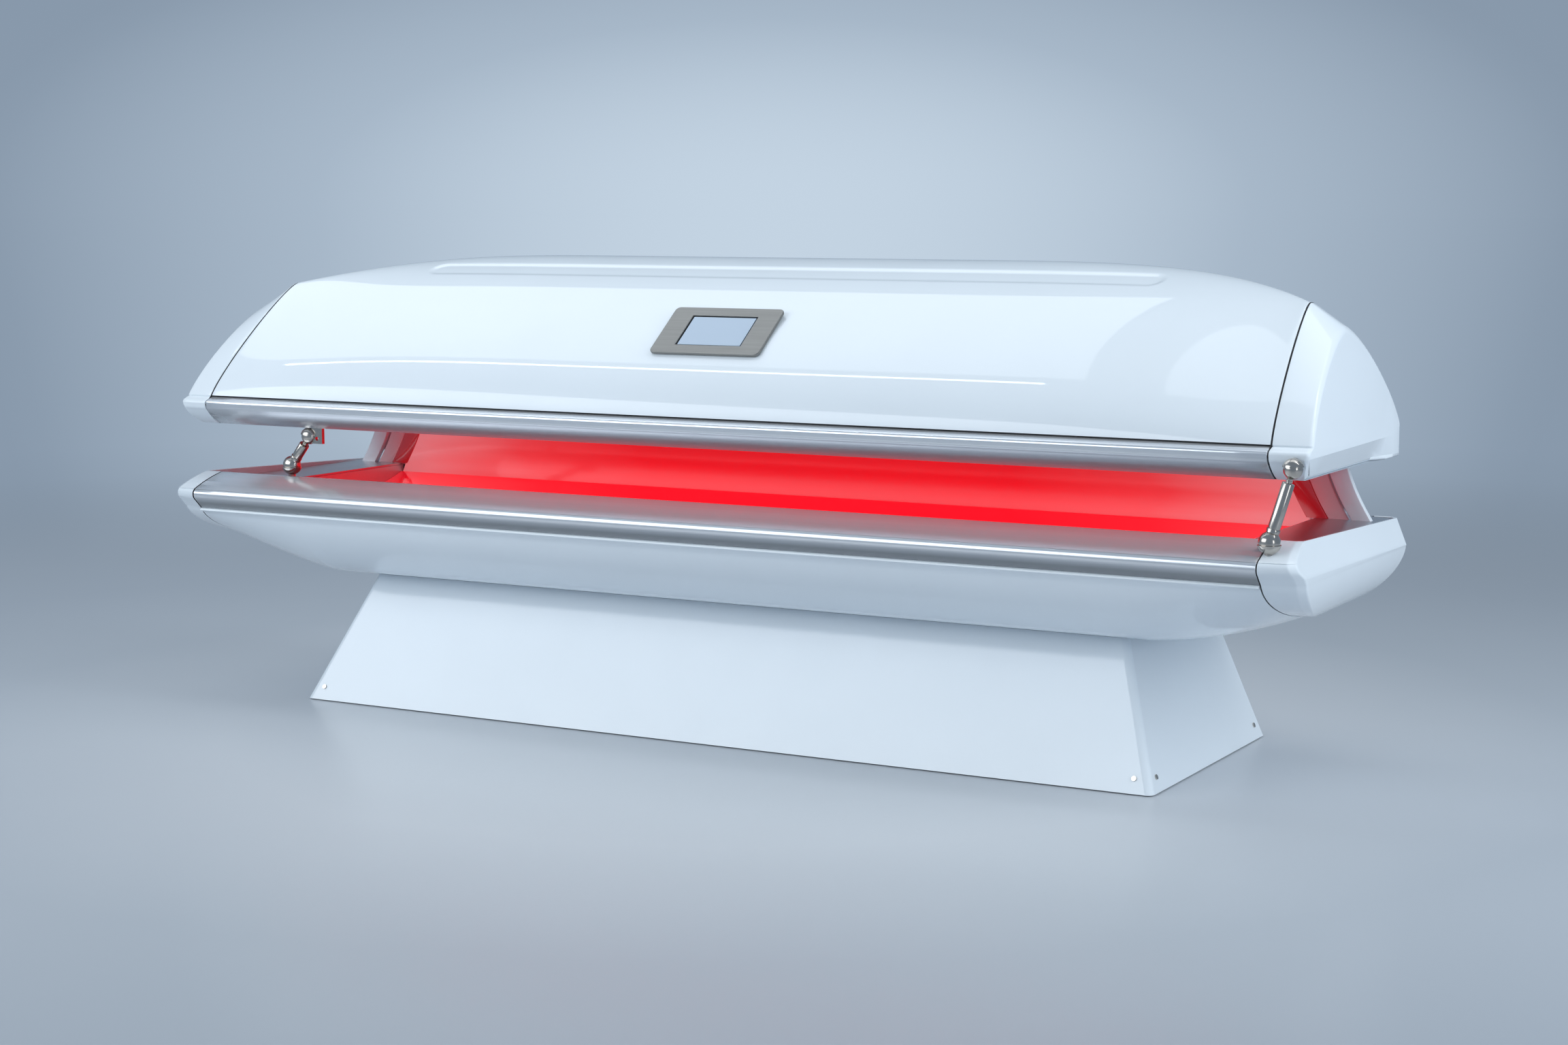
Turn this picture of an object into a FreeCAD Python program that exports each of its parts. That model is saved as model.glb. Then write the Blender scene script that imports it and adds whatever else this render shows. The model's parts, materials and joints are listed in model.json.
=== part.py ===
import FreeCAD
import Part
import Sketcher
import math
import os
import re

from FreeCAD import Placement
from FreeCAD import Rotation
from FreeCAD import Vector

# Driving dimensions in millimetres. X runs along the bed, -Y is the front, Z is up.
# Names ending in _y that describe the front edge are distances in front of the origin.
SIZES = {
    # overall
    "seam_half": 1100,
    "seam_gap": 2.5,
    "back_y": 311,
    "shell_wall": 5,
    "rail_wall": 4,
    "fit_gap": 0.5,
    "run_gap": 0.05,
    # pedestal
    "pedestal_y": 46,
    "pedestal_half_x": 897,
    "pedestal_half_y": 291,
    "pedestal_top_half_x": 804,
    "pedestal_top_front_y": 131,
    "pedestal_top_back_y": 299,
    "pedestal_low_z": 2,
    "pedestal_high_z": 245,
    "pedestal_wall": 6,
    "pedestal_round": 14,
    "gasket_width": 16,
    "gasket_inset": 2,
    "vent_width": 6,
    "vent_height": 50,
    "vent_pitch": 16,
    "vent_count": 10,
    "vent_x": 420,
    "vent_z": 110,
    "screw_inset_x": 37,
    "screw_inset_y": 41,
    "screw_z": 26,
    "screw_head": 4.5,
    "screw_head_height": 2,
    "screw_shank": 2.5,
    "screw_length": 12,
    "inlet_inset": 257,
    "inlet_z": 60,
    "inlet_width": 48,
    "inlet_height": 28,
    "inlet_depth": 30,
    "inlet_flange": 6,
    "inlet_flange_gauge": 3,
    "inlet_wall": 4,
    # frame in the pedestal
    "tube": 40,
    "tube_wall": 2.5,
    "frame_half_x": 760,
    "frame_half_y": 130,
    "frame_low_z": 20,
    "outrigger_x": 700,
    "outrigger_half_y": 250,
    "foot_y": 225,
    "foot_pad": 25,
    "foot_pad_height": 10,
    "foot_stud": 8,
    "shelf_half_x": 600,
    "shelf_gauge": 3,
    "driver_length": 320,
    "driver_width": 120,
    "driver_height": 70,
    "driver_x": 300,
    # bench front rail, hull and ends
    "lip_y": 248,
    "lip_z": 447,
    "lip_width": 3,
    "nose_y": 345,
    "nose_z": 413,
    "nose_round": 12,
    "tuck_y": 313,
    "tuck_z": 381,
    "rail_root_y": 216,
    "rear_rail_depth": 30,
    "deck_gauge": 4,
    "deck_sink": 20,
    "deck_reach": 42,
    "deck_corner": 12,
    "bench_lip_reach": 46,
    "bench_cap_reach": 67,
    "bench_cap_taper": 16,
    "bench_ridge_drop": 19,
    "bench_ridge_fall": 12,
    "cap_bevel": 14,
    "hull_floor_z": 250,
    "hull_floor_front_y": 144,
    "hull_floor_back_y": 304,
    "hull_flat_half": 860,
    "hull_end_floor_z": 297,
    "hull_end_floor_front_y": 14,
    "hull_end_floor_back_y": 106,
    "hull_tuck_in": 20,
    "hull_back_tuck_in": 0,
    "hull_drop": 0.5,
    "hull_belly": 0.45,
    # inside the bench
    "bench_tube": 30,
    "bench_tube_high": 40,
    "bench_frame_half_x": 840,
    "bench_frame_y": 120,
    "bench_cross_half_y": 195,
    "tray_gauge": 4,
    "tray_half_y": 185,
    "board_gauge": 3,
    "bench_board_length": 980,
    "bench_board_width": 330,
    "bench_board_x": 505,
    "chip_strip": 12,
    "chip_height": 2,
    "chip_strips": 6,
    "trough_half": 1015,
    "trough_front_y": 144,
    "trough_plate": 4,
    "acrylic_gauge": 5,
    "bench_acrylic_y": 54,
    "bench_acrylic_radius": 505,
    "bench_acrylic_front_y": 154,
    "bench_acrylic_back_y": 230,
    # rear wall
    "diffuser_y": 231,
    "wall_y": 238,
    "wall_gauge": 10,
    "wall_half": 1114,
    "wall_top_z": 540,
    "diffuser_drop": 23,
    "diffuser_half": 1000,
    "strip_in": 1006,
    "strip_out": 1038,
    "trim_in": 1039,
    "trim_out": 1076,
    "rib_in": 1082,
    "rib_out": 1118,
    "rib_y": 226,
    "wall_flare": 48,
    # hinges
    "hinge_x": 700,
    "hinge_y": 288,
    "hinge_z": 497,
    "hinge_round": 14,
    "hinge_pin": 6,
    "hinge_pin_over": 4,
    "hinge_arm_width": 24,
    "hinge_ear": 6,
    "hinge_side_gap": 1,
    "hinge_plate": 5,
    # canopy rail and shell
    "canopy_foot_y": 275,
    "canopy_rail_top_z": 600,
    "canopy_nose_y": 293,
    "canopy_nose_top_z": 591,
    "canopy_nose_low_z": 580,
    "canopy_nose_round": 5,
    "canopy_sill_y": 250,
    "canopy_sill_z": 545,
    "canopy_root_y": 224,
    "canopy_rear_rail_y": 271,
    "foot_gasket": 3,
    "foot_gasket_width": 20,
    "crest_y": 166,
    "crest_z": 880,
    "front_shoulder": 23,
    "front_hug": 0.33,
    "rear_shoulder": 1,
    "rear_hug": 0.42,
    "flat_half": 400,
    "end_blend": 3.1,
    "seam_crest_ahead": 24,
    "seam_crest_z": 821,
    "seam_front_shoulder": 111,
    "seam_front_hug": 0.23,
    "seam_rear_shoulder": 100,
    "seam_rear_hug": 0.35,
    "seam_lean": 0.096,
    "recess_y": 54,
    "recess_half_x": 795,
    "recess_half_y": 32,
    "recess_depth": 2.5,
    "canopy_cap_reach": 66,
    "canopy_sill_reach": 56,
    "canopy_cap_bevel": 7,
    "canopy_ridge_z": 585,
    "cap_foot_y": 270,
    "cap_back_y": 226,
    "cap_crest_ahead": 23,
    "cap_crest_z": 779,
    "cap_front_shoulder": 106,
    "cap_front_hug": 0.49,
    "cap_rear_shoulder": 40,
    "cap_rear_hug": 0.35,
    "cap_lean": 0.141,
    # canopy lamps
    "liner_half": 1070,
    "liner_edge_z": 556,
    "liner_radius": 342,
    "liner_front_y": 223,
    "liner_back_y": 270,
    "lamp_tray_gap": 40,
    "lamp_tray_gauge": 2,
    "lamp_tray_front_y": 209,
    "lamp_tray_back_y": 256,
    "lamp_board_width": 100,
    "lamp_board_half": 1055,
    "lamp_board_overhang": 10.5,
    "rib_plate": 5,
    "rib_plate_x": 360,
    # screen
    "screen_y": 145.6,
    "screen_z": 748.8,
    "screen_slope": 37,
    "bezel_width": 230,
    "bezel_height": 130,
    "bezel_gauge": 6,
    "bezel_round": 10,
    "window_width": 138,
    "window_height": 84,
    "glass_gauge": 3,
    "glass_sink": 2,
    "module_depth": 30,
    "seat_depth": 4,
    # struts
    "low_ball": 17,
    "top_ball": 15,
    "cup_gap": 0.4,
    "cup_wall": 2.5,
    "cup_rim": 4,
    "cylinder_radius": 8.5,
    "collar_radius": 10.5,
    "collar_height": 6,
    "strut_rod": 4.5,
    "rod_show": 8,
    "rod_seat": 18,
    "right_low_x": 1109,
    "right_low_y": 304,
    "right_low_z": 450,
    "right_top_x": 1143.2,
    "right_top_y": 298.4,
    "right_top_z": 568,
    "left_low_x": 937,
    "left_low_y": 226,
    "left_low_z": 467,
    "left_top_x": 884,
    "left_top_y": 234,
    "left_top_z": 527,
    "socket_stud": 7,
    "lug_x": 863,
    "lug_width": 26,
    "lug_gauge": 8,
    "lug_drop": 32,
    "lug_hole": 4,
    # fans
    "fan_x": 400,
    "fan_size": 120,
    "fan_height": 34,
    "fan_bore": 57,
    "fan_spider": 8,
    "fan_spider_gauge": 3,
    "fan_shaft": 4,
    "fan_hub": 20,
    "fan_blades": 7,
    "fan_blade_gauge": 2,
    "fan_blade_pitch": 38,
    "fan_hub_height": 24,
}

ARCH_STEPS = 9
LOFT_STEPS = 6
SEAM_TOLERANCE = 0.01
X_AXIS = Vector(1, 0, 0)
Y_AXIS = Vector(0, 1, 0)
Z_AXIS = Vector(0, 0, 1)

doc = FreeCAD.newDocument("therapy_bed")
sheet = doc.addObject("Spreadsheet::Sheet", "Sheet")
for row, (alias, number) in enumerate(SIZES.items(), 1):
    sheet.set("A%d" % row, alias)
    sheet.set("B%d" % row, str(number))
    sheet.setAlias("B%d" % row, alias)
doc.recompute()
nodes = []


def ex(formula):
    """Formula with its size names turned into sheet references."""
    def refer(match):
        word = match.group()
        return "Sheet." + word if word in SIZES else word
    return re.sub(r"[a-z][a-z_]*", refer, formula)


def val(formula):
    """Number that a formula of size names gives."""
    return float(sheet.evalExpression(ex(formula)))


def keep(item):
    """Hand in an object as a node of its own."""
    item.Label = item.Name
    nodes.append(item)
    return item


def place(item, corner):
    for axis, formula in zip("xyz", corner):
        item.setExpression(".Placement.Base." + axis, ex(formula))


def box(name, corner, extent):
    item = doc.addObject("Part::Box", name)
    for prop, formula in zip(("Length", "Width", "Height"), extent):
        item.setExpression(prop, ex(formula))
    place(item, corner)
    return item


def cylinder(name, start, axis, radius, length):
    item = doc.addObject("Part::Cylinder", name)
    item.setExpression("Radius", ex(radius))
    item.setExpression("Height", ex(length))
    item.Placement = Placement(Vector(), Rotation(Z_AXIS, axis))
    place(item, start)
    return item


def fuse(name, items):
    item = doc.addObject("Part::MultiFuse", name)
    item.Shapes = items
    item.Refine = True
    return item


def cut(name, base, tool):
    item = doc.addObject("Part::Cut", name)
    item.Base = base
    item.Tool = tool
    return item


def common(name, first, second):
    item = doc.addObject("Part::MultiCommon", name)
    item.Shapes = [first, second]
    return item


def group(name, items):
    item = doc.addObject("Part::Compound", name)
    item.Links = items
    return item


def feature(name, shape):
    item = doc.addObject("Part::Feature", name)
    item.Shape = shape
    return item


def origin_plane(body, role):
    return [f for f in body.Origin.OriginFeatures if f.Role == role][0]


def sketch_on(body, name, role, offset):
    sketch = body.newObject("Sketcher::SketchObject", name)
    sketch.AttachmentSupport = (origin_plane(body, role), [""])
    sketch.MapMode = "FlatFace"
    sketch.setExpression(".AttachmentOffset.Base.z", ex(offset))
    return sketch


def locate(sketch, geometry, point, u, v):
    for kind, formula in (("DistanceX", u), ("DistanceY", v)):
        index = sketch.addConstraint(Sketcher.Constraint(kind, -1, 1, geometry, point, val(formula)))
        sketch.setExpression("Constraints[%d]" % index, ex(formula))


def polygon(sketch, corners):
    first = sketch.GeometryCount
    points = [Vector(val(u), val(v), 0) for u, v in corners]
    count = len(points)
    for i in range(count):
        sketch.addGeometry(Part.LineSegment(points[i], points[(i + 1) % count]), False)
    for i in range(count):
        follower = first + (i + 1) % count
        sketch.addConstraint(Sketcher.Constraint("Coincident", first + i, 2, follower, 1))
    for i, (u, v) in enumerate(corners):
        locate(sketch, first + i, 1, u, v)


def rectangle(u_low, v_low, u_high, v_high):
    return [(u_low, v_low), (u_high, v_low), (u_high, v_high), (u_low, v_high)]


def rounded_rectangle(sketch, u_low, v_low, u_high, v_high, radius):
    """Rectangle with arcs at its corners, every end bound to the formulas."""
    inset = "(%s)" % radius
    u_in = ("(%s) + %s" % (u_low, inset), "(%s) - %s" % (u_high, inset))
    v_in = ("(%s) + %s" % (v_low, inset), "(%s) - %s" % (v_high, inset))
    ends = [(u_in[0], v_low), (u_in[1], v_low), (u_high, v_in[0]), (u_high, v_in[1]),
            (u_in[1], v_high), (u_in[0], v_high), (u_low, v_in[1]), (u_low, v_in[0])]
    centres = [(u_in[1], v_in[0]), (u_in[1], v_in[1]), (u_in[0], v_in[1]), (u_in[0], v_in[0])]
    points = [Vector(val(u), val(v), 0) for u, v in ends]
    lines = []
    for i in range(4):
        line = sketch.addGeometry(Part.LineSegment(points[2 * i], points[2 * i + 1]), False)
        locate(sketch, line, 1, *ends[2 * i])
        locate(sketch, line, 2, *ends[2 * i + 1])
        lines.append(line)
    for i, (u, v) in enumerate(centres):
        round_form = Part.Circle(Vector(val(u), val(v), 0), Z_AXIS, val(radius))
        start = (i - 1) * math.pi / 2
        arc = sketch.addGeometry(Part.ArcOfCircle(round_form, start, start + math.pi / 2), False)
        sketch.addConstraint(Sketcher.Constraint("Coincident", lines[i], 2, arc, 1))
        sketch.addConstraint(Sketcher.Constraint("Coincident", arc, 2, lines[(i + 1) % 4], 1))
        bound = sketch.addConstraint(Sketcher.Constraint("Radius", arc, val(radius)))
        sketch.setExpression("Constraints[%d]" % bound, ex(radius))


def body_of(name):
    return doc.addObject("PartDesign::Body", name)


def pad(body, name, role, outlines, length, offset="0", middle=False):
    sketch = sketch_on(body, name + "_sketch", role, offset)
    for outline in outlines:
        polygon(sketch, outline)
    item = body.newObject("PartDesign::Pad", name)
    item.Profile = sketch
    item.setExpression("Length", ex(length))
    item.Midplane = middle
    sketch.Visibility = False
    doc.recompute()
    return item


def round_edges(body, name, base, radius, test):
    """Fillet the edges of a feature whose middle point and direction pass the test."""
    chosen = []
    for i, edge in enumerate(base.Shape.Edges, 1):
        ends = [v.Point for v in edge.Vertexes]
        if len(ends) == 2 and test(ends[0], ends[1]):
            chosen.append("Edge%d" % i)
    item = body.newObject("PartDesign::Fillet", name)
    item.Base = (base, chosen)
    item.setExpression("Radius", ex(radius))
    doc.recompute()
    return item


def lies_along(y_formula, z_formula):
    """Test for an edge along X at the given section point."""
    y = val(y_formula)
    z = val(z_formula)

    def test(a, b):
        same = all(abs(p.y - y) + abs(p.z - z) < 0.01 for p in (a, b))
        return same and abs(a.x - b.x) > 1
    return test


def any_of(tests):
    return lambda a, b: any(test(a, b) for test in tests)


def mirrored(shape):
    return shape.mirror(Vector(), X_AXIS)


def spline(points):
    curve = Part.BSplineCurve()
    curve.interpolate(points)
    return curve.toShape()


def loft(wires, ruled=False):
    return Part.makeLoft(wires, True, ruled)


# Pedestal cover: two rectangles lofted, rounded, hollowed, then cut for vents, inlet and screws.
def pedestal_sketch(body, name, half_x, front, back, height, radius):
    sketch = sketch_on(body, name, "XY_Plane", height)
    rounded_rectangle(sketch, "-(%s)" % half_x, front, half_x, back, radius)
    return sketch


def pedestal_loft(body, kind, name, inset):
    radius = "pedestal_round - " + inset
    bottom = pedestal_sketch(body, name + "_bottom", "pedestal_half_x - " + inset, FRONT_LOW + " + " + inset,
                             BACK_LOW + " - " + inset, "pedestal_low_z", radius)
    top = pedestal_sketch(body, name + "_top", "pedestal_top_half_x - " + inset, FRONT_HIGH + " + " + inset,
                          BACK_HIGH + " - " + inset, "pedestal_high_z", radius)
    item = body.newObject(kind, name)
    item.Profile = bottom
    item.Sections = [top]
    doc.recompute()
    return item


FRONT_LOW = "pedestal_y - pedestal_half_y"
FRONT_HIGH = "-pedestal_top_front_y"
BACK_LOW = "pedestal_y + pedestal_half_y"
BACK_HIGH = "pedestal_top_back_y"
cover_body = body_of("cover_form")
cover_outer = pedestal_loft(cover_body, "PartDesign::AdditiveLoft", "cover_outer", "0")
cover_inner = pedestal_loft(cover_body, "PartDesign::SubtractiveLoft", "cover_inner", "pedestal_wall")

cover_rise = val("pedestal_high_z - pedestal_low_z")


def cover_edge(low, high, z):
    """Place of a sloping face at a height, and its lean."""
    share = (z - val("pedestal_low_z")) / cover_rise
    return val(low) + (val(high) - val(low)) * share, math.atan2(abs(val(low) - val(high)), cover_rise)


def on_long_face(x, z, side):
    """Placement on the front (-1) or back (1) face, Z outward."""
    y, lean = cover_edge(FRONT_LOW, FRONT_HIGH, z) if side < 0 else cover_edge(BACK_LOW, BACK_HIGH, z)
    normal = Vector(0, side * math.cos(lean), math.sin(lean))
    return Placement(Vector(x, y, z), Rotation(X_AXIS, Y_AXIS, normal, "ZXY"))


def on_end_face(y, z, side):
    x, lean = cover_edge("pedestal_half_x", "pedestal_top_half_x", z)
    normal = Vector(side * math.cos(lean), 0, math.sin(lean))
    return Placement(Vector(side * x, val("pedestal_y") + y, z), Rotation(Y_AXIS, X_AXIS, normal, "ZXY"))


def screw_places():
    z = val("screw_z")
    found = []
    for side in (-1, 1):
        for end in (-1, 1):
            found.append(on_long_face(end * val("pedestal_half_x - screw_inset_x"), z, side))
            found.append(on_end_face(end * val("pedestal_half_y - screw_inset_y"), z, side))
    return found


def screw(shank_gap):
    shank = Part.makeCylinder(val("screw_shank") + shank_gap, val("screw_length"), Vector(), -Z_AXIS)
    head = Part.makeCylinder(val("screw_head"), val("screw_head_height"))
    return shank, shank.fuse(head).removeSplitter()


def placed(shape, placement):
    copy = shape.copy()
    copy.Placement = placement
    return copy


inlet_spot = on_long_face(val("pedestal_half_x - inlet_inset"), val("inlet_z"), 1)
inlet_spot.Rotation = inlet_spot.Rotation.multiply(Rotation(Z_AXIS, 180))


def centred_block(width, height, low, high):
    corner = Vector(-width / 2, -height / 2, low)
    return Part.makeBox(width, height, high - low, corner)


def cover_cuts():
    cuts = []
    for placement in screw_places():
        cuts.append(placed(screw(val("run_gap"))[0], placement))
    hole = centred_block(val("inlet_width + 2 * fit_gap"), val("inlet_height + 2 * fit_gap"),
                         -val("inlet_depth"), val("inlet_depth"))
    cuts.append(placed(hole, inlet_spot))
    vent = centred_block(val("vent_width"), val("vent_height"), -val("inlet_depth"), val("inlet_depth"))
    for side in (-1, 1):
        for i in range(int(val("vent_count"))):
            offset = (i - (val("vent_count") - 1) / 2) * val("vent_pitch")
            cuts.append(placed(vent, on_long_face(side * val("vent_x") + offset, val("vent_z"), 1)))
    return Part.makeCompound(cuts)


cover_tool = feature("cover_tool", cover_cuts())
keep(cut("pedestal_cover", cover_body, cover_tool))
keep(feature("pedestal_screws", Part.makeCompound([placed(screw(0)[1], p) for p in screw_places()])))

gasket_body = body_of("pedestal_gasket")
gasket_outer = rectangle("gasket_inset - pedestal_top_half_x", "gasket_inset - pedestal_top_front_y",
                         "pedestal_top_half_x - gasket_inset", "pedestal_top_back_y - gasket_inset")
gasket_inner = rectangle("gasket_width - pedestal_top_half_x", "gasket_width - pedestal_top_front_y",
                         "pedestal_top_half_x - gasket_width", "pedestal_top_back_y - gasket_width")
pad(gasket_body, "gasket_pad", "XY_Plane", [gasket_outer, gasket_inner], "hull_floor_z - pedestal_high_z",
    "pedestal_high_z")
keep(gasket_body)


def inlet_shape():
    width = val("inlet_width")
    height = val("inlet_height")
    flange = 2 * val("inlet_flange")
    wall = 2 * val("inlet_wall")
    gauge = val("inlet_flange_gauge")
    depth = val("inlet_depth")
    solid = centred_block(width, height, -depth, 0)
    solid = solid.fuse(centred_block(width + flange, height + flange, 0, gauge)).removeSplitter()
    solid = solid.cut(centred_block(width - wall, height - wall, val("inlet_wall") - depth, gauge))
    blade = centred_block(val("inlet_wall") / 2, val("inlet_wall"), val("inlet_wall") - depth, -gauge)
    for x, y in ((-width / 5, 0), (width / 5, 0), (0, height / 8)):
        solid = solid.fuse(blade.translated(Vector(x, y, 0)))
    return placed(solid, inlet_spot)


keep(feature("mains_inlet", inlet_shape()))


def tube_frame(name, tubes):
    """Welded frame of hollow tubes, each a corner and an extent."""
    outer = [box(name + "_tube", corner, extent) for corner, extent in tubes]
    inner = []
    for corner, extent in tubes:
        inner.append(box(name + "_hollow", [c + " + tube_wall" for c in corner],
                         [e + " - 2 * tube_wall" for e in extent]))
    return cut(name, fuse(name + "_outside", outer), fuse(name + "_inside", inner))


# Welded frame in the pedestal, its feet, shelf and power supplies.
tubes = []
for low in ("frame_low_z", "hull_floor_z - tube"):
    for side in ("-", "+"):
        tubes.append((("-frame_half_x", "pedestal_y %s frame_half_y - tube / 2" % side, low),
                      ("2 * frame_half_x", "tube", "tube")))
for x in ("-outrigger_x", "outrigger_x"):
    tubes.append(((x + " - tube / 2", "pedestal_y - outrigger_half_y", "frame_low_z"),
                  ("tube", "2 * outrigger_half_y", "tube")))
    tubes.append(((x + " - tube / 2", "pedestal_y - frame_half_y", "hull_floor_z - tube"),
                  ("tube", "2 * frame_half_y", "tube")))
    for side in ("-", "+"):
        tubes.append(((x + " - tube / 2", "pedestal_y %s frame_half_y - tube / 2" % side, "frame_low_z"),
                      ("tube", "tube", "hull_floor_z - frame_low_z")))
keep(tube_frame("base_frame", tubes))

feet = []
for x in ("-outrigger_x", "outrigger_x"):
    for side in ("-", "+"):
        spot = (x, "pedestal_y %s foot_y" % side)
        pad_disc = cylinder("foot_disc", spot + ("0",), Z_AXIS, "foot_pad", "foot_pad_height")
        stud = cylinder("foot_rod", spot + ("0",), Z_AXIS, "foot_stud", "frame_low_z")
        feet.append(fuse("foot", [pad_disc, stud]))
keep(group("levelling_feet", feet))

keep(box("driver_shelf", ("-shelf_half_x", "pedestal_y - frame_half_y - tube / 2", "frame_low_z + tube"),
         ("2 * shelf_half_x", "2 * frame_half_y + tube", "shelf_gauge")))
for name, x in (("left", "-driver_x"), ("right", "driver_x")):
    keep(box("led_driver_" + name, (x + " - driver_length / 2", "pedestal_y - driver_width / 2",
                                    "frame_low_z + tube + shelf_gauge"),
             ("driver_length", "driver_width", "driver_height")))

# Rails: closed extrusions with rounded noses.
RAIL_LENGTH = "2 * (seam_half - seam_gap)"
DECK_TOP = "(lip_z - deck_sink)"
DECK_LOW = "(lip_z - deck_sink - deck_gauge)"
rail_body = body_of("bench_front_rail")
rail_outer = [("-lip_y", "lip_z"), ("-nose_y", "nose_z"), ("-tuck_y", "tuck_z"), ("-rail_root_y", "tuck_z"),
              ("-rail_root_y", DECK_LOW), ("lip_width - lip_y", DECK_LOW),
              ("lip_width - lip_y", "lip_z")]
rail_inner = [("-rail_root_y - rail_wall", "tuck_z + rail_wall"),
              ("rail_wall - tuck_y", "tuck_z + rail_wall"),
              ("5 * rail_wall - nose_y", "nose_z - 0.75 * rail_wall"),
              ("-lip_y - 2.5 * rail_wall", "lip_z - 2 * rail_wall"),
              ("-lip_y - rail_wall", DECK_LOW + " - rail_wall"),
              ("-rail_root_y - rail_wall", DECK_LOW + " - rail_wall")]
rail_pad = pad(rail_body, "rail_pad", "YZ_Plane", [rail_outer, rail_inner], RAIL_LENGTH, middle=True)
round_edges(rail_body, "rail_nose", rail_pad, "nose_round", lies_along("-nose_y", "nose_z"))
keep(rail_body)

hood_body = body_of("canopy_front_rail")
hood_outer = [("-canopy_foot_y", "canopy_rail_top_z"), ("-canopy_nose_y", "canopy_nose_top_z"),
              ("-canopy_nose_y", "canopy_nose_low_z"), ("-canopy_sill_y", "canopy_sill_z"),
              ("-canopy_root_y", "canopy_sill_z"), ("-canopy_root_y", "canopy_rail_top_z")]
hood_inner = [("-canopy_root_y - rail_wall", "canopy_sill_z + 1.5 * rail_wall"),
              ("-canopy_sill_y - rail_wall / 2", "canopy_sill_z + 1.5 * rail_wall"),
              ("rail_wall - canopy_nose_y", "canopy_nose_low_z + rail_wall / 2"),
              ("rail_wall - canopy_nose_y", "canopy_nose_top_z - rail_wall / 2"),
              ("rail_wall / 4 - canopy_foot_y", "canopy_rail_top_z - rail_wall"),
              ("-canopy_root_y - rail_wall", "canopy_rail_top_z - rail_wall")]
hood_pad = pad(hood_body, "hood_pad", "YZ_Plane", [hood_outer, hood_inner], RAIL_LENGTH, middle=True)
round_edges(hood_body, "hood_nose", hood_pad, "canopy_nose_round",
            any_of([lies_along("-canopy_nose_y", "canopy_nose_top_z"),
                    lies_along("-canopy_nose_y", "canopy_nose_low_z"),
                    lies_along("-canopy_sill_y", "canopy_sill_z")]))
keep(hood_body)


def tube_rail(name, front, back, low, high):
    body = body_of(name)
    outer = rectangle(front, low, back, high)
    inner = rectangle(front + " + rail_wall", low + " + rail_wall",
                      back + " - rail_wall", high + " - rail_wall")
    pad(body, name + "_pad", "YZ_Plane", [outer, inner], RAIL_LENGTH, middle=True)
    return keep(body)


tube_rail("bench_rear_rail", "back_y - rear_rail_depth", "back_y", "tuck_z", DECK_LOW)
tube_rail("canopy_rear_rail", "canopy_rear_rail_y", "back_y", "canopy_sill_z",
          "canopy_rail_top_z + foot_gasket")

# Deck: two end panels and two long strips around the opening over the lamp trough.
deck_end = "seam_half + deck_reach"
deck_front = "lip_width - lip_y"
deck_seam = "seam_half - seam_gap"
deck_edge = [("seam_half", deck_front), (deck_end, deck_front + " + deck_corner"),
             (deck_end, "back_y - 2 * deck_corner"), (deck_seam, "back_y - deck_corner"),
             (deck_seam, "back_y")]


def mirrored_corners(corners):
    return [("-(%s)" % x, y) for x, y in reversed(corners)]


def deck_panel(name, outline):
    body = body_of(name)
    pad(body, name + "_pad", "XY_Plane", [outline], "deck_gauge", DECK_LOW)
    return body


end_panel = [("trough_half", deck_front)] + deck_edge + [("trough_half", "back_y")]
deck = group("bench_deck", [
    deck_panel("deck_front_strip", rectangle("-trough_half", deck_front, "trough_half", "-trough_front_y")),
    deck_panel("deck_back_strip", rectangle("-trough_half", "wall_y", "trough_half", "back_y")),
    deck_panel("deck_right_panel", end_panel),
    deck_panel("deck_left_panel", mirrored_corners(end_panel))])
keep(deck)


# Bench hull: straight middle with lofted ends; section sides are cubic curves.
def hull_share(x):
    span = val("seam_half - hull_flat_half")
    return max(0.0, (abs(x) - val("hull_flat_half")) / span)


def hull_side(x, side, inset):
    """Control points of one side from the rail's tuck down to the floor."""
    share = hull_share(x)

    def blend(middle, end):
        return val(middle) + (val(end) - val(middle)) * share
    floor_z = val("hull_floor_z") + val("hull_end_floor_z - hull_floor_z") * share ** 2 + inset
    if side < 0:
        top = inset - val("tuck_y")
        foot = inset / 2 - blend("hull_floor_front_y", "hull_end_floor_front_y")
        tuck = val("hull_tuck_in")
    else:
        top = val("back_y") - inset
        foot = blend("hull_floor_back_y", "hull_end_floor_back_y") - inset / 2
        tuck = -val("hull_back_tuck_in")
    rise = val("tuck_z") - floor_z
    shape = [(top, val("tuck_z")), (top + tuck, val("tuck_z") - val("hull_drop") * rise),
             (foot + val("hull_belly") * (top - foot), floor_z), (foot, floor_z)]
    return [Vector(x, y, z) for y, z in shape]


def hull_section(x, inset):
    curves = []
    ends = []
    for side in (-1, 1):
        poles = hull_side(x, side, inset)
        curve = Part.BezierCurve()
        curve.setPoles(poles)
        curves.append(curve.toShape())
        ends.append(poles)
    floor = Part.makeLine(ends[0][-1], ends[1][-1])
    top = Part.makeLine(ends[1][0], ends[0][0])
    return Part.Wire(Part.__sortEdges__([curves[0], floor, curves[1], top]))


def swept_form(section, flat, end, inset):
    """Straight middle and two lofted ends of a section that changes along X."""
    middle = Part.Face(section(-flat, inset)).extrude(Vector(2 * flat, 0, 0))
    stations = [flat + (end - flat) * i / LOFT_STEPS for i in range(LOFT_STEPS + 1)]
    right = loft([section(x, inset) for x in stations])
    return middle.fuse([right, mirrored(right)]).removeSplitter()


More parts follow.
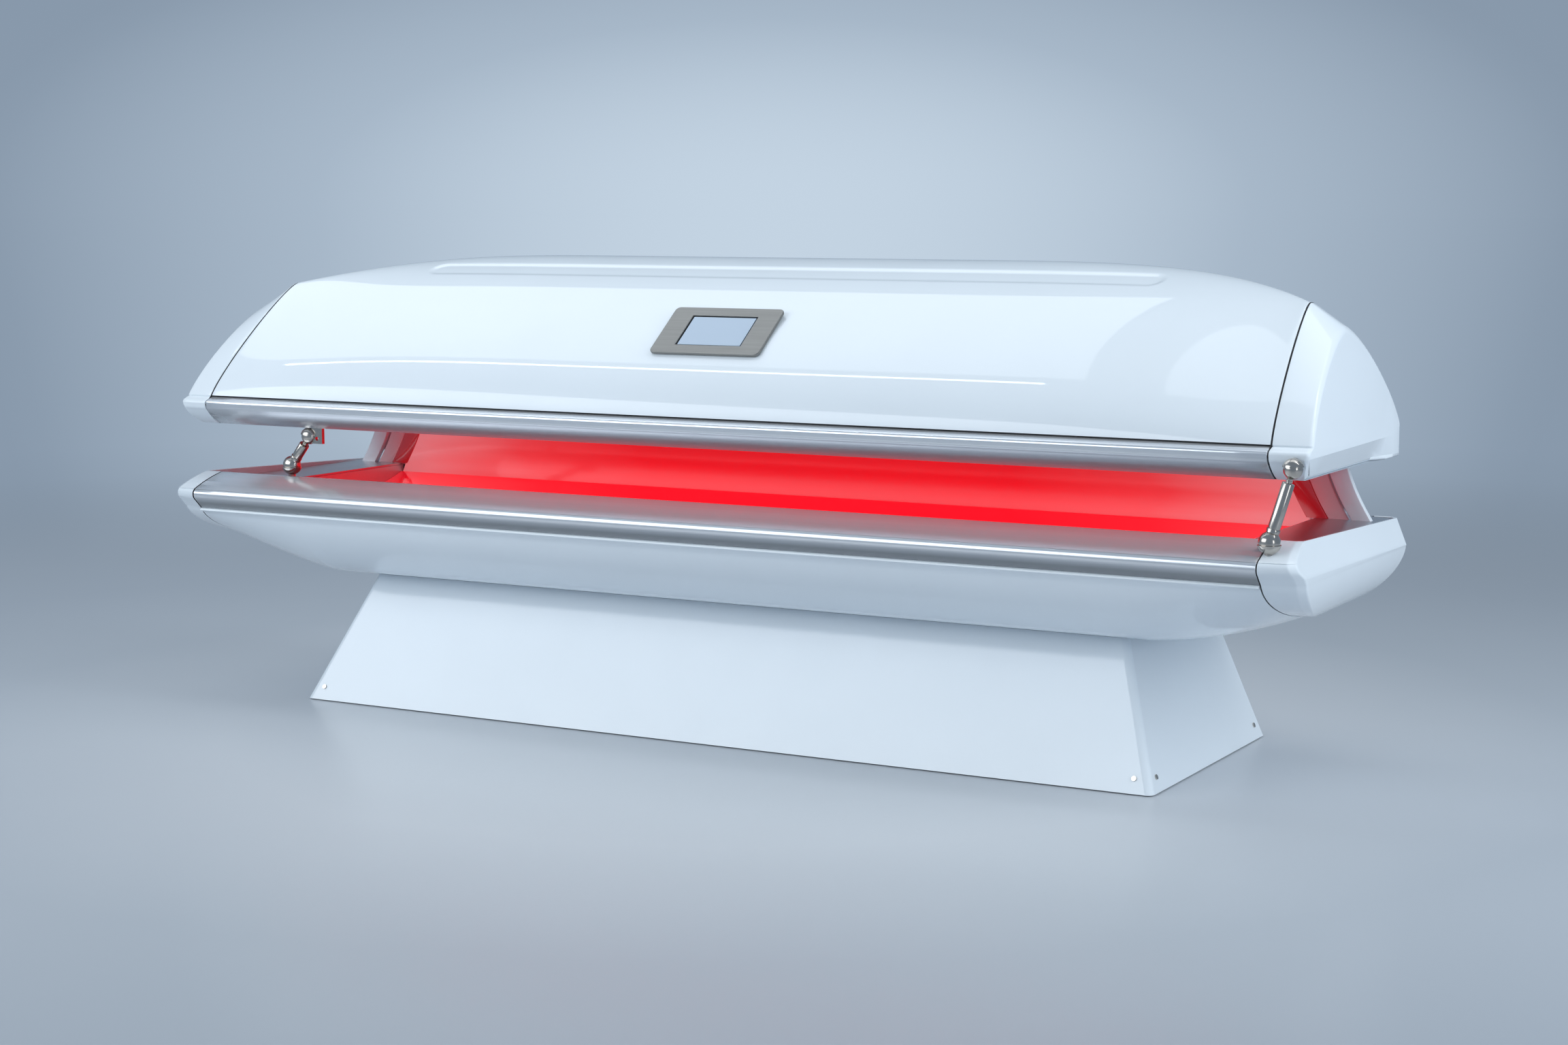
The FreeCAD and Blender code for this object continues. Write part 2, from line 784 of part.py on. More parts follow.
HULL_END = val("seam_half - seam_gap")
hull = swept_form(hull_section, val("hull_flat_half"), HULL_END, 0)
hull = hull.cut(swept_form(hull_section, val("hull_flat_half"), HULL_END, val("shell_wall")))
for side in (-1, 1):
    fan_hole = Part.makeCylinder(val("fan_bore - 2 * fan_spider_gauge"), val("hull_floor_z"),
                                 Vector(side * val("fan_x"), val("pedestal_y"), val("hull_floor_z / 2")))
    hull = hull.cut(fan_hole)
keep(feature("bench_hull", hull))


# End caps: stacked plan outlines, tapered at the front corner and bevelled to the end face.
def cap_outline(z, front, back, reach, taper, fall):
    """Plan outline of an end cap, which falls towards the back."""
    seam = val("seam_half")
    bevel = val("cap_bevel") * reach / val("bench_cap_reach")
    plan = [(seam, front), (seam + reach - bevel, front + taper), (seam + reach, front + taper + bevel),
            (seam + reach, back - 2 * bevel), (seam + reach - bevel, back), (seam, back)]
    slope = fall / (back - front)
    return Part.makePolygon([Vector(x, y, z - slope * (y - front)) for x, y in plan + plan[:1]])


def cap_form(flat_levels, curved_levels, inset):
    """Ruled lofts through the flat levels and one smooth loft through the curved ones."""
    levels = flat_levels + curved_levels
    low = min(level[0] for level in levels) + inset
    high = max(level[0] for level in levels) - inset

    def wires(rows):
        found = []
        for z, front, back, reach, taper, fall in rows:
            z_in = min(max(z, low), high)
            found.append(cap_outline(z_in, front + inset, back - inset, reach - inset, taper, fall))
        return found
    stack = wires(flat_levels)
    pieces = [loft(stack[i:i + 2], True) for i in range(len(stack) - 1)]
    pieces.append(loft(wires(curved_levels)))
    return pieces[0].fuse(pieces[1:]).removeSplitter()


def rail_front():
    """Foremost Y of the bench rail's rounded nose."""
    upper = math.atan2(val("lip_z - nose_z"), val("nose_y - lip_y"))
    lower = math.atan2(val("nose_z - tuck_z"), val("nose_y - tuck_y"))
    centre = math.cos((upper - lower) / 2) / math.sin((upper + lower) / 2)
    return val("nose_round") * (centre - 1) - val("nose_y")


def bench_levels():
    """Levels of a bench end cap: widest at its ridge, rim falling to the deck at the back."""
    floor_z = val("hull_end_floor_z")
    ridge_z = val("nose_z - bench_ridge_drop")
    above = val("lip_z") - ridge_z
    back = val("back_y")
    ridge_y = val("tuck_y") + val("nose_y - tuck_y") * (ridge_z - val("tuck_z")) / val("nose_z - tuck_z")

    def upper(z, front):
        share = (val("lip_z") - z) / above
        reach = val("bench_lip_reach") + val("bench_cap_reach - bench_lip_reach") * share
        fall = val("deck_sink") + val("bench_ridge_fall - deck_sink") * share
        return (z, front, back, reach, val("bench_cap_taper") * share, fall)

    def lower(z, front, rear):
        reach = val("bench_cap_reach") * math.sqrt(1 - ((ridge_z - z) / (ridge_z - floor_z)) ** 2)
        return (z, front, rear, reach, val("bench_cap_taper") * reach / val("bench_cap_reach"), 0)
    flat = [upper(val("lip_z"), -val("lip_y")), upper(val("nose_z"), rail_front()), upper(ridge_z, -ridge_y),
            lower(val("tuck_z"), -val("tuck_y"), back)]
    curved = []
    sides = [Part.BezierCurve(), Part.BezierCurve()]
    for side, curve in zip((-1, 1), sides):
        curve.setPoles(hull_side(val("seam_half"), side, 0))
    for step in (0, 0.25, 0.5, 0.75, 0.93):
        front, rear = [curve.value(step) for curve in sides]
        curved.append(lower(front.z, front.y, rear.y))
    return flat, curved


def on_plane(bounds, x):
    return abs(bounds.XMin - x) + abs(bounds.XMax - x) < SEAM_TOLERANCE


def seam_ring(outlines):
    """Gasket ring in the gap at a seam, inside the outlines of the cap there."""
    clear = Vector(val("fit_gap / 2"), 0, 0)
    room = Vector(val("gasket_width"), 0, 0)
    faces = [Part.Face(outline) for outline in outlines]
    plates = [face.translated(-clear).extrude(Vector(val("fit_gap - seam_gap"), 0, 0)) for face in faces]
    cores = [face.translated(room).extrude(room * -3) for face in faces]
    plate, core = [forms[0].fuse(forms[1:]).removeSplitter() for forms in (plates, cores)]
    return scaled_section(plate, val("fit_gap")).cut(scaled_section(core, val("gasket_width")))


def scaled_section(form, margin):
    """Copy of a form, smaller in Y and Z by the margin on each side."""
    bounds = form.BoundBox
    matrix = FreeCAD.Matrix()
    matrix.move(-bounds.Center)
    matrix.scale(Vector(1, 1 - 2 * margin / bounds.YLength, 1 - 2 * margin / bounds.ZLength))
    matrix.move(bounds.Center)
    return form.transformGeometry(matrix)


doc.recompute()
deck_shape = deck.Shape
deck_outline = deck_edge + mirrored_corners(deck_edge)
deck_corners = [Vector(val(x), val(y), val(DECK_LOW)) for x, y in deck_outline + deck_outline[:1]]
deck_room = Part.Face(Part.makePolygon(deck_corners)).extrude(Vector(0, 0, val("deck_sink + deck_gauge")))
bench_outer = cap_form(*bench_levels(), 0)
bench_cap = bench_outer.cut(cap_form(*bench_levels(), val("shell_wall + deck_gauge"))).cut(deck_room)
keep(feature("bench_end_cap_right", bench_cap))
keep(feature("bench_end_cap_left", mirrored(bench_cap)))
bench_seam = [face.OuterWire for face in bench_outer.Faces if on_plane(face.BoundBox, val("seam_half"))]
bench_ring = seam_ring(bench_seam).cut(deck_room)
keep(feature("bench_seam_gaskets", Part.makeCompound([bench_ring, mirrored(bench_ring)])))

# Tubes, lamp tray and boards in the hull.
HULL_IN = "hull_floor_z + shell_wall"
bench_tubes = []
for side in ("-", "+"):
    y = "pedestal_y %s bench_frame_y - bench_tube / 2" % side
    bench_tubes.append((("-bench_frame_half_x", y, HULL_IN),
                        ("2 * bench_frame_half_x", "bench_tube", "bench_tube_high")))
for share in (-1, -0.5, 0, 0.5, 1):
    x = "%s * (bench_frame_half_x - bench_tube / 2) - bench_tube / 2" % share
    bench_tubes.append(((x, "pedestal_y - bench_cross_half_y", HULL_IN + " + bench_tube_high"),
                        ("bench_tube", "2 * bench_cross_half_y", "bench_tube")))
keep(tube_frame("bench_frame", bench_tubes))

TRAY_Z = HULL_IN + " + bench_tube_high + bench_tube"
keep(box("bench_led_tray", ("-trough_half", "pedestal_y - tray_half_y", TRAY_Z),
         ("2 * trough_half", "2 * tray_half_y", "tray_gauge")))


def lamp_board(name, length, width, middle_x, middle_y, low):
    body = body_of(name)
    outline = rectangle("%s - %s / 2" % (middle_x, length), "%s - %s / 2" % (middle_y, width),
                        "%s + %s / 2" % (middle_x, length), "%s + %s / 2" % (middle_y, width))
    pad(body, name + "_board", "XY_Plane", [outline], "board_gauge", low)
    pitch = "(%s / chip_strips)" % width
    strip_y = "%s - %s / 2 + %s / 2" % (middle_y, width, pitch)
    strip = rectangle("%s - %s / 2 + chip_strip" % (middle_x, length), strip_y + " - chip_strip / 2",
                      "%s + %s / 2 - chip_strip" % (middle_x, length), strip_y + " + chip_strip / 2")
    chips = pad(body, name + "_chips", "XY_Plane", [strip], "chip_height", low + " + board_gauge")
    pattern = body.newObject("PartDesign::LinearPattern", name + "_row")
    pattern.Originals = [chips]
    pattern.Direction = (chips.Profile[0], ["V_Axis"])
    pattern.setExpression("Length", ex("%s - %s" % (width, pitch)))
    pattern.setExpression("Occurrences", ex("chip_strips"))
    body.Tip = pattern
    doc.recompute()
    return body


bench_boards = [lamp_board("bench_board_" + name, "bench_board_length", "bench_board_width", x, "pedestal_y",
                           TRAY_Z + " + tray_gauge") for name, x in (("left", "-bench_board_x"),
                                                                    ("right", "bench_board_x"))]
keep(group("bench_led_boards", bench_boards))

plates = []
for x in ("-trough_half - trough_plate", "trough_half"):
    plates.append(box("trough_end", (x, "-trough_front_y - deck_corner", TRAY_Z),
                      ("trough_plate", "trough_front_y + deck_corner + wall_y",
                       DECK_LOW + " - (%s)" % TRAY_Z)))
keep(group("trough_end_plates", plates))


def curved_sheet(name, half, y, centre_z, radius, gauge, front, back, below):
    """Part of a tube along X: the lower or the upper arc between two Y limits."""
    start = ("-(%s)" % half, y, centre_z)
    outside = cylinder(name + "_outside", start, X_AXIS, "%s + %s" % (radius, gauge), "2 * (%s)" % half)
    inside = cylinder(name + "_inside", start, X_AXIS, radius, "2 * (%s)" % half)
    ring = cut(name + "_ring", outside, inside)
    low = "%s - 2 * %s" % (centre_z, radius) if below else centre_z
    limits = box(name + "_limits", ("-(%s)" % half, "-(%s)" % front, low),
                 ("2 * (%s)" % half, "%s + %s" % (front, back), "2 * %s" % radius))
    return common(name, ring, limits)


BENCH_ARC_SPAN = "(bench_acrylic_front_y + bench_acrylic_y)"
BENCH_ARC_RISE = "sqrt(bench_acrylic_radius ^ 2 - %s ^ 2)" % BENCH_ARC_SPAN
BENCH_ARC_Z = "(%s - fit_gap + %s)" % (DECK_LOW, BENCH_ARC_RISE)
keep(curved_sheet("bench_acrylic", "trough_half - fit_gap", "bench_acrylic_y", BENCH_ARC_Z,
                  "bench_acrylic_radius", "acrylic_gauge",
                  "bench_acrylic_front_y", "bench_acrylic_back_y", True))


# Rear wall: plate, lit sheet and the strips at its ends, which lean inwards going up.
def wall_strip(name, front, corners):
    body = body_of(name)
    pad(body, name + "_pad", "XZ_Plane", [corners], "wall_y - " + front, "-wall_y")
    return body


def leaning(inner, outer, sign):
    return [("%s(%s)" % (sign, inner), DECK_TOP), ("%s(%s)" % (sign, outer), DECK_TOP),
            ("%s(%s - wall_flare)" % (sign, outer), "wall_top_z"),
            ("%s(%s - wall_flare)" % (sign, inner), "wall_top_z")]


keep(box("rear_wall_frame", ("-(wall_half - wall_flare)", "wall_y", DECK_TOP),
         ("2 * (wall_half - wall_flare)", "wall_gauge", "wall_top_z - " + DECK_TOP)))
DIFFUSER_LOW = "(%s - diffuser_drop)" % DECK_TOP
DIFFUSER_TOP = "diffuser_half - wall_flare * (wall_top_z - %s) / (wall_top_z - %s)" % (DIFFUSER_LOW, DECK_TOP)
keep(wall_strip("rear_wall_diffuser", "diffuser_y",
                [("-diffuser_half", DIFFUSER_LOW), ("diffuser_half", DIFFUSER_LOW),
                 (DIFFUSER_TOP, "wall_top_z"), ("-(%s)" % DIFFUSER_TOP, "wall_top_z")]))
for name, inner, outer, front in (("rear_end_strips", "strip_in", "strip_out", "diffuser_y"),
                                  ("rear_trims", "trim_in", "trim_out", "diffuser_y"),
                                  ("rear_ribs", "rib_in", "rib_out", "rib_y")):
    pair = []
    for side, sign in (("left", "-"), ("right", "+")):
        pair.append(wall_strip("%s_%s" % (name, side), front, leaning(inner, outer, sign)))
    keep(group(name, pair))

# Hinges: bench brackets, pins and canopy arms.
hinge_pins = []
ARM = "(hinge_arm_width / 2)"
EAR_IN = "(hinge_arm_width / 2 + hinge_side_gap)"
EAR_OUT = "(hinge_arm_width / 2 + hinge_side_gap + hinge_ear)"
for side, sign in (("left", "-"), ("right", "+")):
    x = sign + "hinge_x"
    solids = [box("hinge_foot", (x + " - " + EAR_OUT, "wall_y + wall_gauge + fit_gap", DECK_TOP),
                  ("2 * " + EAR_OUT, "back_y - wall_y - wall_gauge - fit_gap", "hinge_plate"))]
    for low in (x + " - " + EAR_OUT, x + " + " + EAR_IN):
        solids.append(box("hinge_web", (low, "hinge_y - hinge_round", DECK_TOP),
                          ("hinge_ear", "2 * hinge_round", "hinge_z - " + DECK_TOP)))
        solids.append(cylinder("hinge_eye", (low, "hinge_y", "hinge_z"), X_AXIS, "hinge_round", "hinge_ear"))
    bore = cylinder("hinge_bore", (x + " - " + EAR_OUT, "hinge_y", "hinge_z"), X_AXIS, "hinge_pin + run_gap",
                    "2 * " + EAR_OUT)
    keep(cut("hinge_bracket_" + side, fuse("hinge_bracket_form", solids), bore))
    pin_end = x + " - %s - hinge_pin_over" % EAR_OUT
    hinge_pins.append(cylinder("hinge_pin", (pin_end, "hinge_y", "hinge_z"), X_AXIS,
                               "hinge_pin", "2 * (%s + hinge_pin_over)" % EAR_OUT))
    web = box("arm_web", (x + " - " + ARM, "hinge_y - hinge_round", "hinge_z"),
              ("hinge_arm_width", "2 * hinge_round", "canopy_sill_z - hinge_z"))
    eye = cylinder("arm_eye", (x + " - " + ARM, "hinge_y", "hinge_z"), X_AXIS, "hinge_round",
                   "hinge_arm_width")
    arm_bore = cylinder("arm_bore", (x + " - " + ARM, "hinge_y", "hinge_z"), X_AXIS, "hinge_pin + run_gap",
                        "hinge_arm_width")
    keep(cut("hinge_arm_" + side, fuse("arm_form", [web, eye]), arm_bore))
keep(group("hinge_pins", hinge_pins))


# Canopy shell: each section is two conics that meet at the crest, and towards the ends it leans inwards.
def lerp(start, end, share):
    return val(start) + (val(end) - val(start)) * share


MIDDLE_ARCH = ("crest_y", "crest_z", "canopy_foot_y", "front_shoulder", "front_hug",
               "back_y", "rear_shoulder", "rear_hug", "0")
SEAM_ARCH = ("-seam_crest_ahead", "seam_crest_z", "canopy_foot_y", "seam_front_shoulder", "seam_front_hug",
             "back_y", "seam_rear_shoulder", "seam_rear_hug", "seam_lean")
CAP_ARCH = ("-cap_crest_ahead", "cap_crest_z", "cap_foot_y", "cap_front_shoulder", "cap_front_hug",
            "cap_back_y", "cap_rear_shoulder", "cap_rear_hug", "cap_lean")


def arch_shape(x):
    """Crest, feet, shoulders, hugs and lean of the section with its feet at X, on the shell or a cap."""
    beyond = abs(x) - val("seam_half")
    if beyond > 0:
        share = beyond / val("canopy_cap_reach")
        return [lerp(seam, cap, share) for seam, cap in zip(SEAM_ARCH, CAP_ARCH)]
    along = (abs(x) - val("flat_half")) / val("seam_half - seam_gap - flat_half")
    share = min(1.0, max(0.0, along)) ** val("end_blend")
    return [lerp(middle, seam, share) for middle, seam in zip(MIDDLE_ARCH, SEAM_ARCH)]


FOOT_Z = val("canopy_rail_top_z + foot_gasket")


def conic(start, corner, end, hug):
    """Points of a conic from start to end that comes nearer to the corner with more hug."""
    points = []
    for i in range(ARCH_STEPS + 1):
        share = i / ARCH_STEPS
        weights = ((1 - share) ** 2, 2 * hug * share * (1 - share), share ** 2)
        mean = start * weights[0] + corner * weights[1] + end * weights[2]
        points.append(mean * (1 / sum(weights)))
    return points


def arch_points(x, inset):
    crest_y, crest_z, foot, front_in, front_hug, back, rear_in, rear_hug, lean = arch_shape(x)
    top = crest_z - inset
    top_x = x - lean * (top - FOOT_Z)
    crest = Vector(top_x, crest_y, top)
    front_foot = Vector(x, inset - foot, FOOT_Z)
    rear_foot = Vector(x, back - inset, FOOT_Z)
    front = conic(front_foot, Vector(top_x, front_foot.y + front_in, top), crest, front_hug)
    rear = conic(crest, Vector(top_x, rear_foot.y - rear_in, top), rear_foot, rear_hug)
    return front + rear[1:]


def arch_section(x, inset):
    points = arch_points(x, inset)
    return Part.Wire([spline(points), Part.makeLine(points[-1], points[0])])


def canopy_form(inset):
    return swept_form(arch_section, val("flat_half"), val("seam_half - seam_gap"), inset)


def stadium(half_x, half_y, middle_y, low, high):
    reach = half_x - half_y
    block = Part.makeBox(2 * reach, 2 * half_y, high - low, Vector(-reach, middle_y - half_y, low))
    ends = [Part.makeCylinder(half_y, high - low, Vector(x, middle_y, low)) for x in (-reach, reach)]
    return block.fuse(ends).removeSplitter()


screen_spot = Placement(Vector(0, -val("screen_y"), val("screen_z")), Rotation(X_AXIS, val("screen_slope")))
canopy_outer = canopy_form(0)
canopy = canopy_outer.cut(canopy_form(val("shell_wall")))
groove = canopy_outer.cut(canopy_form(val("recess_depth")))
racetrack = stadium(val("recess_half_x"), val("recess_half_y"), val("recess_y"), FOOT_Z, val("2 * crest_z"))
groove = groove.common(racetrack)
canopy = canopy.cut(groove)
seat = centred_block(val("bezel_width"), val("bezel_height"), -val("seat_depth"), 0)
window = centred_block(val("window_width + 2 * fit_gap"), val("window_height + 2 * fit_gap"),
                       -val("module_depth"), val("bezel_gauge"))
canopy = canopy.fuse(placed(seat, screen_spot)).cut(placed(window, screen_spot))
proud = centred_block(val("bezel_width"), val("bezel_height"), 0, val("module_depth"))
canopy = canopy.cut(placed(proud, screen_spot))
keep(feature("canopy_shell", canopy))


def cap_sections(x, inset, shrink):
    """Outlines of an end cap at X: the leaning arch, and the upright nose, sill and back under it."""
    arch = arch_points(x, inset + shrink)
    ahead = val("canopy_foot_y") + arch[0].y - inset - shrink
    step = inset + shrink
    sill = val("canopy_sill_z") + step
    lower = [(arch[-1].y, sill), (step + ahead - val("canopy_sill_y"), sill),
             (step + ahead - val("canopy_nose_y"), val("canopy_ridge_z"))]
    corners = [arch[-1]] + [Vector(x, y, z) for y, z in lower] + [arch[0], arch[-1]]
    return arch_section(x, inset + shrink), Part.makePolygon(corners)


def canopy_cap_form(inset):
    """Lofts from the seam to a bevelled end face that tucks under below its ridge."""
    seam = val("seam_half")
    end = seam + val("canopy_cap_reach")
    bevel = val("canopy_cap_bevel")
    stations = [cap_sections(seam, inset, 0), cap_sections(end - bevel, inset, 0)]
    if inset == 0:
        stations.append(cap_sections(end, inset, bevel))
    upper, lower = [loft(list(wires), True) for wires in zip(*stations)]
    form = upper.fuse(lower).removeSplitter()
    tuck = [(val("seam_half + canopy_sill_reach") - inset, val("canopy_sill_z")),
            (end - inset, val("canopy_ridge_z")),
            (2 * end, val("canopy_ridge_z")), (2 * end, val("canopy_sill_z"))]
    outline = Part.makePolygon([Vector(x, -seam, z) for x, z in tuck + tuck[:1]])
    return form.cut(Part.Face(outline).extrude(Vector(0, 2 * seam, 0)))


cap_outer = canopy_cap_form(0)
canopy_cap = cap_outer.cut(canopy_cap_form(val("shell_wall")))
keep(feature("canopy_end_cap_right", canopy_cap))
keep(feature("canopy_end_cap_left", mirrored(canopy_cap)))
canopy_ring = seam_ring(cap_sections(val("seam_half"), 0, 0))
foot_strip = Part.makeBox(val(RAIL_LENGTH), val("foot_gasket_width"), val("foot_gasket"),
                          Vector(-val("seam_half - seam_gap"), -val("canopy_foot_y - 2 * fit_gap"),
                                 val("canopy_rail_top_z")))
keep(feature("canopy_seam_gaskets", Part.makeCompound([canopy_ring, mirrored(canopy_ring), foot_strip])))

# Canopy lamps: lower sheet, tray, boards and the formers they hang from.
LINER_Y = "((liner_back_y - liner_front_y) / 2)"
LINER_Z = "(liner_edge_z - sqrt(liner_radius ^ 2 - ((liner_back_y + liner_front_y) / 2) ^ 2))"
LAMP_RADIUS = "(liner_radius + lamp_tray_gap)"
keep(curved_sheet("canopy_acrylic", "liner_half", LINER_Y, LINER_Z, "liner_radius", "acrylic_gauge",
                  "liner_front_y", "liner_back_y", False))
keep(curved_sheet("canopy_led_tray", "liner_half", LINER_Y, LINER_Z, LAMP_RADIUS, "lamp_tray_gauge",
                  "lamp_tray_front_y", "lamp_tray_back_y", False))
BOARD_RADIUS = math.sqrt(val(LAMP_RADIUS) ** 2 - val("lamp_board_width / 2") ** 2) - val("run_gap")
BOARD_REACH = val("(lamp_tray_front_y + lamp_tray_back_y) / 2 + lamp_board_overhang")
BOARD_SPREAD = math.atan(val("lamp_board_width / 2") / BOARD_RADIUS)
OUTER_EDGE = math.asin(BOARD_REACH / math.hypot(BOARD_RADIUS, val("lamp_board_width / 2")))
BOARD_TURN = math.degrees(OUTER_EDGE - BOARD_SPREAD)
boards = []
for turn in (-1, 0, 1):
    board = lamp_board("lamp_board", "2 * lamp_board_half", "lamp_board_width", "0", "0", "0")
    tilt = Rotation(X_AXIS, turn * BOARD_TURN)
    flip = Rotation(X_AXIS, 180)
    centre = Vector(0, val(LINER_Y), val(LINER_Z))
    board.Placement = Placement(centre + tilt.multVec(Vector(0, 0, BOARD_RADIUS)), tilt.multiply(flip))
    boards.append(board)
keep(group("canopy_led_boards", boards))


def former(x, hole_radius, low_z):
    """Plate across the canopy between its shell and the lamps, sized to where the shell is narrowest."""
    crest_z, lean = arch_shape(x)[1], arch_shape(x)[-1]
    narrow = arch_points(x + val("rib_plate") + lean * (crest_z - FOOT_Z), val("shell_wall + 2 * fit_gap"))
    arch = [Vector(x, point.y, point.z) for point in narrow]
    front = -val("liner_front_y")
    back = val("liner_back_y")
    corners = [(back, FOOT_Z), (back, low_z), (front, low_z), (front, FOOT_Z)]
    lower = [arch[-1]] + [Vector(x, y, z) for y, z in corners] + [arch[0]]
    outline = Part.Wire([spline(arch)] + Part.makePolygon(lower).Edges)
    solid = Part.Face(outline).extrude(Vector(val("rib_plate"), 0, 0))
    middle = Vector(x - val("rib_plate / 2"), val(LINER_Y), val(LINER_Z))
    hole = Part.makeCylinder(hole_radius, val("2 * rib_plate"), middle, X_AXIS)
    return solid.cut(hole)


end_former = former(val("liner_half + fit_gap"), val("liner_radius + acrylic_gauge"),
                    val("canopy_sill_z + rail_wall"))
keep(feature("canopy_end_plates", Part.makeCompound([end_former, mirrored(end_former)])))
mid_former = former(val("rib_plate_x"), val(LAMP_RADIUS + " + lamp_tray_gauge"), FOOT_Z - val("rib_plate"))
keep(feature("canopy_ribs", Part.makeCompound([mid_former, mirrored(mid_former)])))

# Touch screen on the front of the canopy.
bezel_body = body_of("screen_bezel")
bezel_outer = rectangle("-bezel_width / 2", "-bezel_height / 2", "bezel_width / 2", "bezel_height / 2")
bezel_inner = rectangle("-window_width / 2", "-window_height / 2", "window_width / 2", "window_height / 2")
bezel_pad = pad(bezel_body, "bezel_pad", "XY_Plane", [bezel_outer, bezel_inner], "bezel_gauge")


def bezel_corner(a, b):
    upright = abs(a.z - b.z) > 1
    return upright and abs(a.x) > val("window_width / 2 + fit_gap")


round_edges(bezel_body, "bezel_corners", bezel_pad, "bezel_round", bezel_corner)
bezel_body.Placement = screen_spot
keep(bezel_body)


def screen_block(name, low, high):
    item = box(name, ("0", "0", "0"), ("window_width - 2 * run_gap", "window_height - 2 * run_gap",
                                       "%s - (%s)" % (high, low)))
    corner = Vector(-val("window_width / 2 - run_gap"), -val("window_height / 2 - run_gap"), val(low))
    for axis in "xyz":
        item.setExpression(".Placement.Base." + axis, None)
    item.Placement = screen_spot.multiply(Placement(corner, Rotation()))
    return keep(item)


GLASS_TOP = "bezel_gauge - glass_sink"
screen_block("screen_glass", GLASS_TOP + " - glass_gauge", GLASS_TOP)
screen_block("screen_module", "-module_depth", GLASS_TOP + " - glass_gauge")


# Struts: a ball on the cylinder sits in a cup on the bench, a ball on the rod in a cup on the canopy.
def cup(centre, ball, side):
    """Shallow ball seat above (1) or below (-1) the ball, and the room for the ball."""
    outer = Part.makeSphere(ball + val("cup_gap + cup_wall"), centre)
    reach = 2 * val("low_ball")
    corner = centre + Vector(-reach, -reach, val("cup_rim") if side > 0 else -val("cup_rim") - 2 * reach)
    room = Part.makeSphere(ball + val("cup_gap"), centre)
    return outer.common(Part.makeBox(2 * reach, 2 * reach, 2 * reach, corner)), room


def strut(name, side, foot_length, bench_solids, canopy_mount):
    low = Vector(side * val(name + "_low_x"), -val(name + "_low_y"), val(name + "_low_z"))
    top = Vector(side * val(name + "_top_x"), -val(name + "_top_y"), val(name + "_top_z"))
    axis = top - low
    length = axis.Length
    axis.normalize()

    seat, room = cup(low, val("low_ball"), -1)
    seat = seat.fuse(Part.makeCylinder(val("socket_stud"), val(foot_length), low, -Z_AXIS)).cut(room)
    for other in bench_solids:
        seat = seat.cut(other)
    keep(feature(name + "_strut_lower_socket", seat.removeSplitter()))

    along = Placement(low, Rotation(Z_AXIS, axis))
    barrel = Part.makeCylinder(val("cylinder_radius"), length - val("top_ball + rod_show"))
    collar = Part.makeCylinder(val("collar_radius"), val("collar_height"), Vector(0, 0, val("low_ball")))
    barrel = barrel.fuse([collar, Part.makeSphere(val("low_ball"))]).removeSplitter()
    barrel = barrel.cut(Part.makeCylinder(val("strut_rod + run_gap"), length, Vector(0, 0, val("rod_seat"))))
    keep(feature(name + "_strut_cylinder", placed(barrel, along)))

    rod_start = Vector(0, 0, val("rod_seat + fit_gap"))
    rod = Part.makeCylinder(val("strut_rod"), length - rod_start.z, rod_start)
    rod = rod.fuse(Part.makeSphere(val("top_ball"), Vector(0, 0, length))).removeSplitter()
    keep(feature(name + "_strut_rod", placed(rod, along)))

    seat, room = cup(top, val("top_ball"), 1)
    keep(feature(name + "_strut_upper_socket", canopy_mount(seat, top).cut(room).removeSplitter()))


def right_stud(seat, top):
    start = top + Vector(0, 0, val("cup_rim + socket_stud"))
    stud = Part.makeCylinder(val("socket_stud"), 3 * val("top_ball"), start, Y_AXIS)
    return seat.fuse(stud).cut(cap_outer)


def left_lug(seat, top):
    half = val("lug_gauge / 2")
    corner = Vector(-val("lug_x + lug_width / 2"), top.y - half, val("canopy_sill_z - lug_drop"))
    lug = Part.makeBox(val("lug_width"), 2 * half, val("lug_drop"), corner)
    hole_start = Vector(-val("lug_x"), top.y - 2 * half, top.z - half)
    hole = Part.makeCylinder(val("lug_hole"), 4 * half, hole_start, Y_AXIS)
    neck = Part.makeCylinder(val("socket_stud"), val("canopy_sill_z") - top.z, top)
    return seat.fuse([lug.cut(hole), neck]).cut(hood_body.Shape)


strut("right", 1, "2 * low_ball", [bench_outer, rail_body.Shape], right_stud)
strut("left", -1, "left_low_z - " + DECK_TOP, [deck_shape, rail_body.Shape], left_lug)

